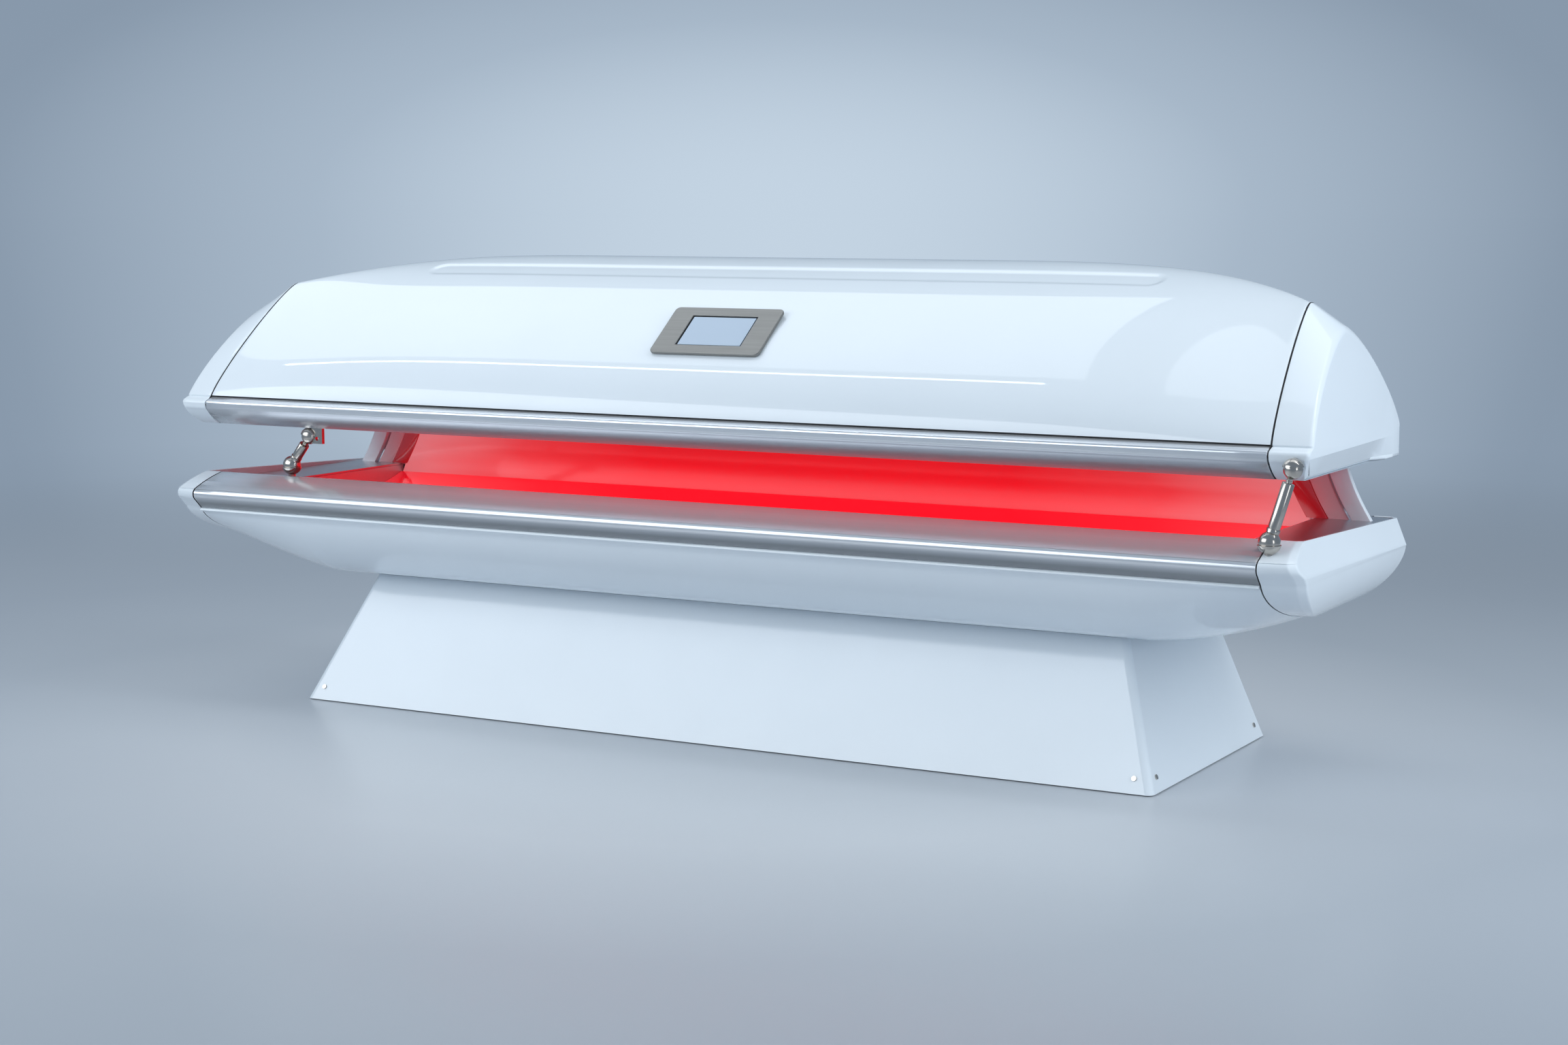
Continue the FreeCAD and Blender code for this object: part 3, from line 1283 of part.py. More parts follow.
# Cooling fans on the hull floor.
for name, sign in (("left", "-"), ("right", "+")):
    x = sign + "fan_x"
    frame = box("fan_frame", (x + " - fan_size / 2", "pedestal_y - fan_size / 2", HULL_IN),
                ("fan_size", "fan_size", "fan_height"))
    throat = cylinder("fan_throat", (x, "pedestal_y", HULL_IN), Z_AXIS, "fan_bore", "fan_height")
    bars = [cut("fan_ring", frame, throat)]
    bar_long = "2 * fan_bore + fan_spider_gauge"
    bar_back = " - fan_bore - fan_spider_gauge / 2"
    bars.append(box("fan_bar", (x + bar_back, "pedestal_y - fan_spider / 2", HULL_IN),
                    (bar_long, "fan_spider", "fan_spider_gauge")))
    bars.append(box("fan_bar", (x + " - fan_spider / 2", "pedestal_y" + bar_back, HULL_IN),
                    ("fan_spider", bar_long, "fan_spider_gauge")))
    bars.append(cylinder("fan_axle", (x, "pedestal_y", HULL_IN), Z_AXIS, "fan_shaft", "fan_height"))
    keep(fuse("fan_housing_" + name, bars))

    hub_low = HULL_IN + " + fan_spider_gauge + hinge_side_gap"
    hub = cylinder("fan_hub_disc", (x, "pedestal_y", hub_low), Z_AXIS, "fan_hub", "fan_hub_height")
    blades = [hub]
    for i in range(int(val("fan_blades"))):
        blade = box("fan_blade", ("0", "0", "0"),
                    ("fan_bore - fan_hub / 2 - 3 * hinge_side_gap", "fan_blade_gauge",
                     "fan_hub_height - 6 * hinge_side_gap"))
        for axis in "xyz":
            blade.setExpression(".Placement.Base." + axis, None)
        centre = Placement(Vector(val(x), val("pedestal_y"), val(hub_low + " + fan_hub_height / 2")),
                           Rotation(Z_AXIS, 360 * i / val("fan_blades")))
        tilt = Placement(Vector(val("fan_hub / 2"), 0, 0), Rotation(X_AXIS, val("fan_blade_pitch")))
        blade_half = val("fan_hub_height / 2 - 3 * hinge_side_gap")
        middle = Placement(Vector(0, -val("fan_blade_gauge / 2"), -blade_half), Rotation())
        blade.Placement = centre.multiply(tilt).multiply(middle)
        blades.append(blade)
    hub_bore = cylinder("fan_hub_bore", (x, "pedestal_y", hub_low), Z_AXIS, "fan_shaft + run_gap",
                        "fan_hub_height")
    keep(cut("fan_rotor_" + name, fuse("fan_wheel", blades), hub_bore))

doc.recompute()
for item in doc.Objects:
    if "Invalid" in item.State or "Error" in item.State:
        raise RuntimeError("%s is %s" % (item.Name, item.State))
os.makedirs("parts", exist_ok=True)
for item in nodes:
    if item.Shape.isNull() or not item.Shape.isValid() or item.Shape.Volume <= 0:
        raise RuntimeError("%s has a bad shape" % item.Label)
    item.Shape.exportStep("parts/%s.step" % item.Label)
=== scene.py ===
import json
import math

import bmesh
import bpy
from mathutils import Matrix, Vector


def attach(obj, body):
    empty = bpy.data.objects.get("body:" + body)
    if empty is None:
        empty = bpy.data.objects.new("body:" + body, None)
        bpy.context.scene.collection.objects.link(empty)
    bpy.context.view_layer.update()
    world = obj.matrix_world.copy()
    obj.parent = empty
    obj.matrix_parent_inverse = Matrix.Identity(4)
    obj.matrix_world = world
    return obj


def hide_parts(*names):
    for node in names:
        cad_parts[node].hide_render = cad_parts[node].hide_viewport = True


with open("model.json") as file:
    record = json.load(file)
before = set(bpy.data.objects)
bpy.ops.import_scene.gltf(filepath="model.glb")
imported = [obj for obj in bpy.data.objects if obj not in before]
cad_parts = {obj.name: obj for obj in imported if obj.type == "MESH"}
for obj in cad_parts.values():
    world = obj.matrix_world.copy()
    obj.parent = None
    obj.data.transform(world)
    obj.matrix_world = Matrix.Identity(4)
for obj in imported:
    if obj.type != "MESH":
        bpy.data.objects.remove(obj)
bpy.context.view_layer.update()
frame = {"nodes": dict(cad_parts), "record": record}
scene = bpy.context.scene
scene.view_settings.view_transform = "Standard"
record = frame["record"]
BODY = {node: body for body, nodes in record["behaviour"]["bodies"].items() for node in nodes}
SLOT = {part["node"]: part["material_slot"] for part in record["subparts"]}

MM = 0.001

# Sizes that several pieces share, in millimetres
SEAM = 1100  # the end caps' seams, from the middle
SHELL_END = 1097.5  # mouldings and rails stop just short of the seams
SHELL_FRONT = 275
BACK = 311
GAUGE = 5
RAIL_FOOT = 381  # underside of the bench rail, where the hull begins
WALL_LOW, WALL_TOP = 427, 540  # the red back wall

# Materials; noise scales are per metre, depths in metres
NOISE_RANGE = (0.3, 0.7)
CLOUD_SCALE, POLISH_SCALE, PEEL_SCALE = 3.0, 14.0, 70.0
FINE_PEEL, FAINT_PEEL = 0.0000015, 0.0000005
LINE_DEPTH = 0.000003
SPECK_RANGE = (0.35, 0.65)
WEAR_SCALE = 60.0


def grey(level):
    return (level,) * 3


def shade(color, factor):
    return tuple(min(1.0, channel * factor) for channel in color)


class Look:
    """Principled material with procedural detail in the part's own coordinates."""

    def __init__(self, name, **sockets):
        self.material = bpy.data.materials.new(name)
        self.material.use_nodes = True
        self.tree = self.material.node_tree
        self.shader = self.tree.nodes["Principled BSDF"]
        self.coords = self.tree.nodes.new("ShaderNodeTexCoord")
        for socket, value in sockets.items():
            self.set(socket, value)

    def set(self, socket, value):
        target = self.shader.inputs[socket.replace("_", " ").title()]
        target.default_value = (*value, 1) if isinstance(value, tuple) else value

    def fill(self, ports, values):
        """Link outputs to ports and set plain values on them."""
        for port, value in zip(ports, values):
            if isinstance(value, bpy.types.NodeSocket):
                self.tree.links.new(value, port)
            else:
                port.default_value = value

    def add(self, kind, **inputs):
        node = self.tree.nodes.new("ShaderNode" + kind)
        self.fill([node.inputs[socket.replace("_", " ")] for socket in inputs], inputs.values())
        return node

    def math(self, operation, *values):
        node = self.tree.nodes.new("ShaderNodeMath")
        node.operation = operation
        self.fill(node.inputs, values)
        return node.outputs["Value"]

    def vector(self, operation, *values):
        node = self.tree.nodes.new("ShaderNodeVectorMath")
        node.operation = operation
        self.fill(node.inputs, values)
        return node.outputs

    def noise(self, scale, stretch=(1, 1, 1), detail=3.0):
        mapping = self.add("Mapping", Vector=self.coords.outputs["Object"], Scale=stretch)
        node = self.add("TexNoise", Vector=mapping.outputs["Vector"], Scale=scale, Detail=detail)
        return node.outputs["Fac"]

    def axis(self, name, start, end):
        """0 at start and 1 at end along one axis, in metres."""
        place = self.add("SeparateXYZ", Vector=self.coords.outputs["Object"])
        return self.span(place.outputs[name], start, end, 0, 1)

    def span(self, value, low, high, to_low, to_high):
        """Straight line that takes low to to_low and high to to_high, and goes on beyond them."""
        gain = (to_high - to_low) / (high - low)
        return self.math("MULTIPLY_ADD", value, gain, to_low - gain * low)

    def vary(self, noise, low, high):
        """Value that runs from low to high over the range that noise mostly covers."""
        return self.span(noise, *NOISE_RANGE, low, high)

    def ramp(self, value, stops):
        node = self.add("ValToRGB", Fac=value)
        elements = node.color_ramp.elements
        elements.remove(elements[1])
        elements[0].position, elements[0].color = stops[0][0], (*stops[0][1], 1)
        for position, color in stops[1:]:
            elements.new(position).color = (*color, 1)
        return node.outputs["Color"]

    def mottle(self, noise, low, high):
        """Colour between two by noise."""
        return self.ramp(noise, list(zip(NOISE_RANGE, (low, high))))

    def blend(self, kind, share, first, second):
        """Mix of two colours; share and colours are values or outputs."""
        node = self.add("MixRGB", Fac=share, Color1=first, Color2=second)
        node.blend_type = kind
        return node.outputs["Color"]

    def link(self, output, socket):
        self.tree.links.new(output, self.shader.inputs[socket])

    def bump(self, height, distance):
        node = self.add("Bump", Height=height, Distance=distance)
        self.link(node.outputs["Normal"], "Normal")


def moulded(name, color, rough, peel=FINE_PEEL, coat=1.0):
    """Gloss or satin moulding: faint cloudiness, uneven polish and orange peel."""
    look = Look(name, Roughness=rough, Coat_Weight=coat, Coat_Roughness=0.03)
    look.link(look.mottle(look.noise(CLOUD_SCALE), shade(color, 0.975), color), "Base Color")
    look.link(look.vary(look.noise(POLISH_SCALE, detail=0.0), rough * 0.95, rough * 1.05), "Roughness")
    look.bump(look.noise(PEEL_SCALE, detail=0.0), peel)
    return look


def drawn(name, color, rough, stretch, scale, depth=LINE_DEPTH, swing=0.05, bands=(), metal=1.0):
    """Metal with fine lines along one direction and, where given, painted reflections as bands by height."""
    look = Look(name, Metallic=metal, Roughness=rough)
    lines = look.noise(scale, stretch, 4.0)
    tone = look.mottle(lines, shade(color, 1 - swing), color)
    if bands:
        low, high = bands[0][0], bands[-1][0]
        stops = [((z - low) / (high - low), grey(level)) for z, level in bands]
        band = look.ramp(look.axis("Z", low * MM, high * MM), stops)
        tone = look.blend("MULTIPLY", 1.0, tone, band)
    look.link(tone, "Base Color")
    look.link(look.vary(lines, rough * 1.03, rough * 0.97), "Roughness")
    if depth:
        look.bump(lines, depth)
    return look


def matt(name, color, rough, grain, depth):
    """Rubber, powder coat or textured plastic."""
    look = Look(name, Roughness=rough)
    speck = look.noise(grain, detail=4.0)
    look.link(look.ramp(speck, list(zip(SPECK_RANGE, (shade(color, 0.8), shade(color, 1.15))))), "Base Color")
    look.link(look.vary(look.noise(WEAR_SCALE), rough * 0.9, min(1.0, rough * 1.1)), "Roughness")
    look.bump(speck, depth)
    return look


def glowing(look, color, strength):
    look.set("emission_color", color)
    look.set("emission_strength", strength)
    return look


WHITE = (0.78, 0.85, 0.915)
DEEP_RED, BRIGHT_RED = (0.30, 0.008, 0.016), (0.95, 0.010, 0.028)
PALE_RED = (0.78, 0.30, 0.33, 1.0)
WALL_REDS = [(0.0, (0.95, 0.010, 0.026)), (0.3, (0.80, 0.004, 0.014)), (1.0, (0.72, 0.004, 0.012))]
PALE_FROM, PALE_TO = 0.35, 1.0  # metres from the middle of the wall
PALE_STOPS = [(0.1, grey(0)), (0.55, grey(0.16)), (0.92, grey(0.8))]
SHEET_LOW, SHEET_TOP = 0.39, 0.43  # metres; the lying sheet is bright in the trough and dim at its edges
SHEET_REDS = [(0.0, BRIGHT_RED), (0.55, BRIGHT_RED), (0.78, (0.16, 0.02, 0.026)), (1.0, (0.10, 0.02, 0.024))]
# Painted reflections on both rails: lighter and darker bands by height, multiplied into the colour
RAIL_PAINTED_REFLECTIONS = [(381, 0.62), (384, 0.40), (392, 0.42), (401, 0.74), (409, 0.95), (419, 1.0), (428, 0.95),
              (439, 1.22), (447, 1.2), (545, 1.0), (553, 0.92), (564, 0.66), (572, 0.74), (584, 0.95),
              (592, 1.0), (600, 0.9)]


def lit_wall():
    """Diffuser in front of the lamps: deep red above, bright low down, pale towards the ends."""
    look = Look("red_lit", Roughness=0.22, Coat_Weight=0.6, Coat_Roughness=0.08)
    red = look.ramp(look.axis("Z", WALL_LOW * MM, WALL_TOP * MM), WALL_REDS)
    cloud = look.noise(5.0, (0.3, 1, 2))
    look.link(look.mottle(cloud, (0.30, 0.006, 0.01), (0.36, 0.008, 0.014)), "Base Color")
    place = look.add("SeparateXYZ", Vector=look.coords.outputs["Object"])
    side = look.math("ABSOLUTE", place.outputs["X"])
    streak = look.vary(look.noise(9.0, (0.12, 1, 3.0)), -0.06, 0.06)
    pale = look.math("ADD", look.span(side, PALE_FROM, PALE_TO, 0.0, 1.0), streak)
    look.link(look.blend("MIX", look.ramp(pale, PALE_STOPS), red, PALE_RED), "Emission Color")
    look.set("emission_strength", 0.60)
    look.bump(look.noise(40.0, (0.05, 1, 1)), 0.0001)
    return look


def lit_sheet():
    """Sheet over the bench's lamps."""
    look = glowing(moulded("red_sheet_lit", DEEP_RED, 0.12), BRIGHT_RED, 0.55)
    look.link(look.ramp(look.axis("Z", SHEET_LOW, SHEET_TOP), SHEET_REDS), "Emission Color")
    return look


LOOKS = {
    "white_shell": moulded("white_shell", WHITE, 0.38),
    "rail_aluminium": drawn("rail_aluminium", (0.76, 0.79, 0.83), 0.24, (0.01, 1, 1), 170.0, 0, 0.03,
                            RAIL_PAINTED_REFLECTIONS, 0.66),
    "frame_steel": matt("frame_steel", (0.10, 0.105, 0.115), 0.55, 420.0, 0.00006),
    "black_rubber": matt("black_rubber", (0.012, 0.012, 0.014), 0.7, 500.0, 0.00006),
    "bright_steel": drawn("bright_steel", (0.56, 0.515, 0.465), 0.2, (1, 1, 1), 60.0, 0, 0.08),
    "deck_grey": drawn("deck_grey", (0.58, 0.585, 0.61), 0.30, (0.02, 1, 1), 500.0),
    # The grey trim glows faintly pink, though it is no lamp: painted red light from the wall
    "trim_grey": glowing(moulded("trim_grey", (0.58, 0.45, 0.48), 0.40, coat=0.4), (0.8, 0.18, 0.22), 0.10),
    "red_sheet": moulded("red_sheet", (0.50, 0.45, 0.47), 0.12),
    "red_lit": lit_wall(),
    # The dark red parts glow, though they are no lamps: painted red light from the wall
    "dark_red": glowing(moulded("dark_red", (0.30, 0.006, 0.012), 0.2), (0.6, 0.006, 0.014), 0.22),
    "lamp_tray": drawn("lamp_tray", (0.62, 0.63, 0.64), 0.42, (0.05, 1, 1), 300.0),
    "lamp_board": matt("lamp_board", (0.74, 0.74, 0.70), 0.5, 160.0, 0.00005),
    "black_plastic": matt("black_plastic", (0.018, 0.018, 0.02), 0.5, 380.0, 0.00008),
    "driver_case": drawn("driver_case", (0.36, 0.37, 0.39), 0.4, (0.03, 1, 1), 400.0),
    "bezel_steel": drawn("bezel_steel", (0.33, 0.32, 0.30), 0.46, (0.02, 1, 1), 260.0, 0, 0.10),
    "screen_glass": moulded("screen_glass", (0.36, 0.465, 0.60), 0.1, FAINT_PEEL),
}
LIT_SHEET = lit_sheet()
for node, item in frame["nodes"].items():
    item.data.materials.clear()
    item.data.materials.append(LOOKS[SLOT[node]].material)

# Mesh tools; points are in millimetres
MERGE = 1e-6
RAIL_EDGE = 0.8
RAIL_STATIONS = 40
LATHE_STEPS = 48
FLAT_ANGLE = math.radians(0.4)  # faces that meet at less are merged
EDGE_ANGLE = math.radians(28)  # edges that turn by more are softened


def add_piece(name, mesh, node, angle, look=None):
    """Put a mesh in the scene in place of a CAD node, with its body and slot; edges over angle stay sharp."""
    mesh.shade_smooth()
    mesh.set_sharp_from_angle(angle=math.radians(angle))
    item = bpy.data.objects.new(name, mesh)
    scene.collection.objects.link(item)
    mesh.materials.clear()
    mesh.materials.append((look or LOOKS[SLOT[node]]).material)
    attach(item, BODY[node])
    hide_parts(node)
    return item


def mesh_of(points, faces):
    mesh = bpy.data.meshes.new("piece")
    mesh.from_pydata([tuple(c * MM for c in point) for point in points], [], faces)
    work = bmesh.new()
    work.from_mesh(mesh)
    bmesh.ops.remove_doubles(work, verts=work.verts, dist=MERGE)
    bmesh.ops.recalc_face_normals(work, faces=work.faces)
    work.to_mesh(mesh)
    work.free()
    return mesh


def skin(rows, wrap=False, ends=False):
    """Points and faces of quads through rows of points."""
    count = len(rows[0])
    points = [point for row in rows for point in row]
    faces = []
    for i in range(len(rows) - 1):
        for j in range(count if wrap else count - 1):
            k = (j + 1) % count
            faces.append((i * count + j, i * count + k, (i + 1) * count + k, (i + 1) * count + j))
    if ends:
        last = (len(rows) - 1) * count
        faces.append(tuple(range(count)))
        faces.append(tuple(range(last, last + count)))
    return points, faces


def flat_end(row):
    """One face over a row of points."""
    return list(row), [tuple(range(len(row)))]


def mirrored(points, faces):
    return [(-x, y, z) for x, y, z in points], faces


def joined(*parts):
    """One point and face list from several."""
    points = []
    faces = []
    for more, quads in parts:
        start = len(points)
        points += more
        faces += [tuple(start + i for i in quad) for quad in quads]
    return points, faces


def rounded(corners, steps):
    """Open outline with each corner (y, z, radius) replaced by an arc, unless its radius is 0."""
    outline = []
    for i, (y, z, radius) in enumerate(corners):
        if radius == 0:
            outline.append((y, z))
            continue
        here = Vector((y, z))
        before = (Vector(corners[i - 1][:2]) - here).normalized()
        after = (Vector(corners[i + 1][:2]) - here).normalized()
        half = before.angle(after) / 2
        centre = here + (before + after).normalized() * (radius / math.sin(half))
        start = here + before * (radius / math.tan(half)) - centre
        end = here + after * (radius / math.tan(half)) - centre
        sweep = start.angle_signed(end)
        for step in range(steps + 1):
            turn = -sweep * step / steps
            c, s = math.cos(turn), math.sin(turn)
            outline.append((centre.x + c * start.x - s * start.y, centre.y + s * start.x + c * start.y))
    return outline


def bow(start, end, rise, steps):
    """Points from start to end, bowed to the left of the way by rise."""
    start, end = Vector(start), Vector(end)
    side = Vector((-(end - start).y, (end - start).x)).normalized()
    found = []
    for step in range(steps + 1):
        share = step / steps
        found.append(tuple(start.lerp(end, share) + side * rise * 4 * share * (1 - share)))
    return found


def extrusion(outline):
    """Closed bar along X between the seams, with softened end edges."""
    middle = Vector((sum(y for y, z in outline), sum(z for y, z in outline))) / len(outline)
    full = SHELL_END - RAIL_EDGE

    def row(x, inset):
        found = []
        for y, z in outline:
            away = Vector((y, z)) - middle
            y, z = middle + away * (1 - inset / max(away.length, 1))
            found.append((x, y, z))
        return found
    stations = [(-full + 2 * full * i / RAIL_STATIONS, 0) for i in range(RAIL_STATIONS + 1)]
    stations = [(-SHELL_END, RAIL_EDGE)] + stations + [(SHELL_END, RAIL_EDGE)]
    return skin([row(x, inset) for x, inset in stations], wrap=True, ends=True)


def lathe(profile, start, axis):
    """Turned solid: profile of (distance along the axis, radius) from start."""
    axis = axis.normalized()
    across = axis.orthogonal().normalized()
    other = axis.cross(across)
    turns = [2 * math.pi * i / LATHE_STEPS for i in range(LATHE_STEPS)]
    rows = []
    for along, radius in profile:
        centre = start + axis * along
        rows.append([tuple(centre + (across * math.cos(a) + other * math.sin(a)) * radius) for a in turns])
    return skin(rows, wrap=True, ends=True)


def dress(node, bevel, look=None, fitted=None):
    """Copy of a CAD node with merged faces, softened edges and even shading."""
    mesh = frame["nodes"][node].data.copy()
    for corner in mesh.vertices if fitted else ():
        corner.co = fitted(corner.co)
    work = bmesh.new()
    work.from_mesh(mesh)
    bmesh.ops.remove_doubles(work, verts=work.verts, dist=MERGE)
    bmesh.ops.dissolve_limit(work, angle_limit=FLAT_ANGLE, verts=work.verts, edges=work.edges)
    sharp = [e for e in work.edges if len(e.link_faces) == 2 and e.calc_face_angle(0) > EDGE_ANGLE]
    bmesh.ops.bevel(work, geom=sharp, offset=bevel * MM, segments=2, profile=0.5, affect="EDGES",
                    clamp_overlap=True)
    work.to_mesh(mesh)
    work.free()
    if "custom_normal" in mesh.attributes:
        mesh.attributes.remove(mesh.attributes["custom_normal"])
    item = add_piece(node + "_dressed", mesh, node, 50, look)
    even = item.modifiers.new("even", "WEIGHTED_NORMAL")
    even.keep_sharp = True
    bpy.context.view_layer.update()
    item.data = bpy.data.meshes.new_from_object(item.evaluated_get(bpy.context.evaluated_depsgraph_get()))
    item.modifiers.clear()


# Canopy shell: sections of two conics, with the racetrack recess and the screen's flat seat.
# An arch is (crest y, crest z, front, front corner in, front hug, back, rear corner in, rear hug, lean).
FLAT_HALF = 400
FALL_POWER = 3.1
FOOT_Z = 603
MIDDLE_ARCH = (166, 880, SHELL_FRONT, 23, 0.33, BACK, 1, 0.42, 0)
SEAM_ARCH = (-24, 821, SHELL_FRONT, 111, 0.23, BACK, 100, 0.35, 0.096)
CAP_ARCH = (-23, 779, 270, 106, 0.49, 226, 40, 0.35, 0.141)
CAP_REACH = 66
# Shares along the two conics; the front one is fine where the recess lies
FRONT_SHARES = [0.022 * i for i in range(28)] + [0.616 + 0.0048 * i for i in range(70)]
FRONT_SHARES += [0.952 + 0.008 * i for i in range(6)]
REAR_SHARES = [i / 32 for i in range(33)]
# Sections along X (from, to, step), fine over the screen and at the recess's ends
SPACING = ((0, 150, 5), (150, 750, 12.5), (750, 800, 2.5), (800, SEAM, 12))
# Rounded edge at a seam: distance from the edge and how far the section draws in
SEAM_EDGE = ((0, 1.8), (0.4, 0.8), (1.2, 0.25), (2.5, 0))
RECESS_HALF_X, RECESS_Y, RECESS_HALF_Y = 763, 54, 32
RECESS_DEPTH, RECESS_SLOPE = 3.0, 17.0
SCREEN = Vector((0, -145.6, 748.8))
SLOPE = math.radians(37)
SCREEN_OUT = Vector((0, -math.sin(SLOPE), math.cos(SLOPE)))
SCREEN_UP = Vector((0, math.cos(SLOPE), math.sin(SLOPE)))
# Seat under the screen: half width, half height, depth under the bezel and the width of its blend
SEAT = (102, 52, 0.3, 12)
INNER_SEAT = (115, 65, 0.3 + GAUGE, 26)
SEAT_REACH = 40  # shell points further than this from the screen's plane are elsewhere


def ease(value):
    value = min(1.0, max(0.0, value))
    return value * value * (3 - 2 * value)


def arch_shape(x):
    beyond = abs(x) - SEAM
    if beyond > 0:
        pair, share = (SEAM_ARCH, CAP_ARCH), beyond / CAP_REACH
    else:
        way = max(0.0, abs(x) - FLAT_HALF) / (SHELL_END - FLAT_HALF)
        pair, share = (MIDDLE_ARCH, SEAM_ARCH), min(1.0, way) ** FALL_POWER
    return [a + (b - a) * share for a, b in zip(*pair)]


def conic(start, corner, end, hug, shares):
    """Points from start to end that come nearer to the corner with more hug."""
    points = []
    for share in shares:
        weights = ((1 - share) ** 2, 2 * hug * share * (1 - share), share ** 2)
        mean = start * weights[0] + corner * weights[1] + end * weights[2]
        points.append(tuple(mean / sum(weights)))
    return points


def arch(x, inset):
    crest_y, crest_z, foot, front_in, front_hug, back, rear_in, rear_hug, lean = arch_shape(x)
    top = crest_z - inset
    top_x = x - math.copysign(lean * (top - FOOT_Z), x)
    crest = Vector((top_x, crest_y, top))
    front = Vector((x, inset - foot, FOOT_Z))
    rear = Vector((x, back - inset, FOOT_Z))
    points = conic(front, Vector((top_x, front.y + front_in, top)), crest, front_hug, FRONT_SHARES)
    return points + conic(crest, Vector((top_x, rear.y - rear_in, top)), rear, rear_hug, REAR_SHARES)


def seated(point, half_x, half_up, drop, width, only_down):
    """Shell point brought to the flat seat under the screen."""
    offset = Vector(point) - SCREEN
    lift = offset.dot(SCREEN_OUT)
    if abs(lift) >= SEAT_REACH:
        return point
    aside = max(abs(point[0]) - half_x, abs(offset.dot(SCREEN_UP)) - half_up)
    down = max(0.0, lift + drop) if only_down else lift + drop
    return tuple(Vector(point) - SCREEN_OUT * down * ease(1 - aside / width))


def recessed(point):
    """Outer shell point pressed into the racetrack recess and flattened under the screen."""
    x, y, z = point
    beyond = max(0.0, abs(x) - RECESS_HALF_X)
    edge = math.hypot(beyond, y - RECESS_Y) - RECESS_HALF_Y
    z -= RECESS_DEPTH * ease(-edge / RECESS_SLOPE)
    return seated((x, y, z), *SEAT, only_down=False)


def shell_stations():
    xs = [start + step * i for start, stop, step in SPACING for i in range(int((stop - start) / step))]
    rows = [(x, 0) for x in xs if x < SHELL_END - 3]
    rows += [(SHELL_END - away, inset) for away, inset in reversed(SEAM_EDGE)]
    return [(-x, inset) for x, inset in reversed(rows) if x] + rows


def rim(row):
    """Faces that close a doubled row between its outer and inner half."""
    count = len(row)
    return list(row), [(j, j + 1, count - 2 - j, count - 1 - j) for j in range(count // 2 - 1)]


def canopy_shell():
    rows = []
    for x, inset in shell_stations():
        outer = [recessed(p) for p in arch(x, inset)]
        inner = [seated(p, *INNER_SEAT, only_down=True) for p in arch(x, GAUGE)]
        rows.append(outer + inner[::-1])
    return joined(skin(rows, wrap=True), rim(rows[0]), rim(rows[-1]))


add_piece("shell_moulding", mesh_of(*canopy_shell()), "canopy_shell", 40)

# Canopy front rail and end caps share one nose outline, whose long faces are bowed
RAIL_NOSE = rounded([(-SHELL_FRONT, 600, 0), (-293.5, 592.5, 7), (-292, 578, 10), (-250, 545, 4),
                     (-246, 545, 0)], 8)
RAIL_INSIDE = [(-224, 545), (-224, 600)]
LONG_FACE = 25
NOSE_BOW = -3.0


def bowed_nose():
    nose = []
    for start, end in zip(RAIL_NOSE, RAIL_NOSE[1:]):
        if math.dist(start, end) > LONG_FACE:
            nose += bow(start, end, NOSE_BOW, 14)[:-1]
        else:
            nose += bow(start, end, 0.0, 1)[:-1]
    return nose + [RAIL_NOSE[-1]]


NOSE = bowed_nose()
add_piece("canopy_rail_extrusion", mesh_of(*extrusion(NOSE + RAIL_INSIDE)), "canopy_front_rail", 40)

# Canopy end caps: the end face is creased at a ridge and tucked in below it
CAP_END = SEAM + CAP_REACH
CAP_BEVEL = 8
CAP_ROWS, BEVEL_ROWS = 9, 8
RIDGE_Z = 585
RIDGE_DROP = 40  # from the ridge down to the sill
NOSE_FOOT = -248
TUCK = 20
TUCK_BACK, TUCK_BLEND = 150, 14
WALL_STEPS, SILL_STEPS = 6, 12


def below_ridge(z):
    return max(0.0, (RIDGE_Z - z) / RIDGE_DROP)


def cap_section(x, shrink):
    """Outline of a canopy end cap at X: arch, flat back, sill and nose."""
    top = arch(min(x, CAP_END), shrink)
    ahead = SHELL_FRONT + top[0][1] - shrink
    nose = [(x, y + ahead + shrink * (0.9 if y < NOSE_FOOT else 0), z + shrink * below_ridge(z))
            for y, z in reversed(NOSE)]
    sill_z = nose[0][2]
    back = top[-1][1]
    wall = [(x, back, FOOT_Z + (sill_z - FOOT_Z) * i / WALL_STEPS) for i in range(1, WALL_STEPS)]
    sill = [(x, back + (nose[0][1] - back) * i / SILL_STEPS, sill_z) for i in range(SILL_STEPS)]
    return top + wall + sill + nose


def tucked(point, shrink):
    """Point kept inside the end face, which is pulled in below the ridge except near the back."""
    x, y, z = point
    depth = TUCK * below_ridge(z) * ease((TUCK_BACK - y) / TUCK_BLEND)
    return min(x, CAP_END - depth - shrink), y, z


def end_face(outline):
    """Faces of a cap's end: one above the ridge and a strip of quads between the ridge and the sill."""
    count = len(outline)
    wall_start = len(arch(SEAM, 0))
    sill_start = wall_start + WALL_STEPS - 1
    nose_start = sill_start + SILL_STEPS
    front = min(range(nose_start, count), key=lambda i: abs(outline[i][2] - RIDGE_Z))
    back = min(range(wall_start, sill_start), key=lambda i: abs(outline[i][2] - RIDGE_Z))
    sill = list(range(sill_start, nose_start))
    points = list(outline)
    x, back_y, back_z = outline[back]
    front_y, front_z = outline[front][1:]
    ridge = [back]
    for i in sill[1:]:
        y = outline[i][1]
        share = (y - back_y) / (front_y - back_y)
        ridge.append(len(points))
        points.append((x, y, back_z + (front_z - back_z) * share))
    faces = [(*range(back + 1), *ridge[1:], *range(front, count)),
             (*range(back, sill_start + 1), sill[1], ridge[1])]
    for i in range(1, len(sill) - 1):
        faces.append((sill[i], sill[i + 1], ridge[i + 1], ridge[i]))
    faces.append((sill[-1], *range(nose_start, front + 1), ridge[-1]))
    return points, faces


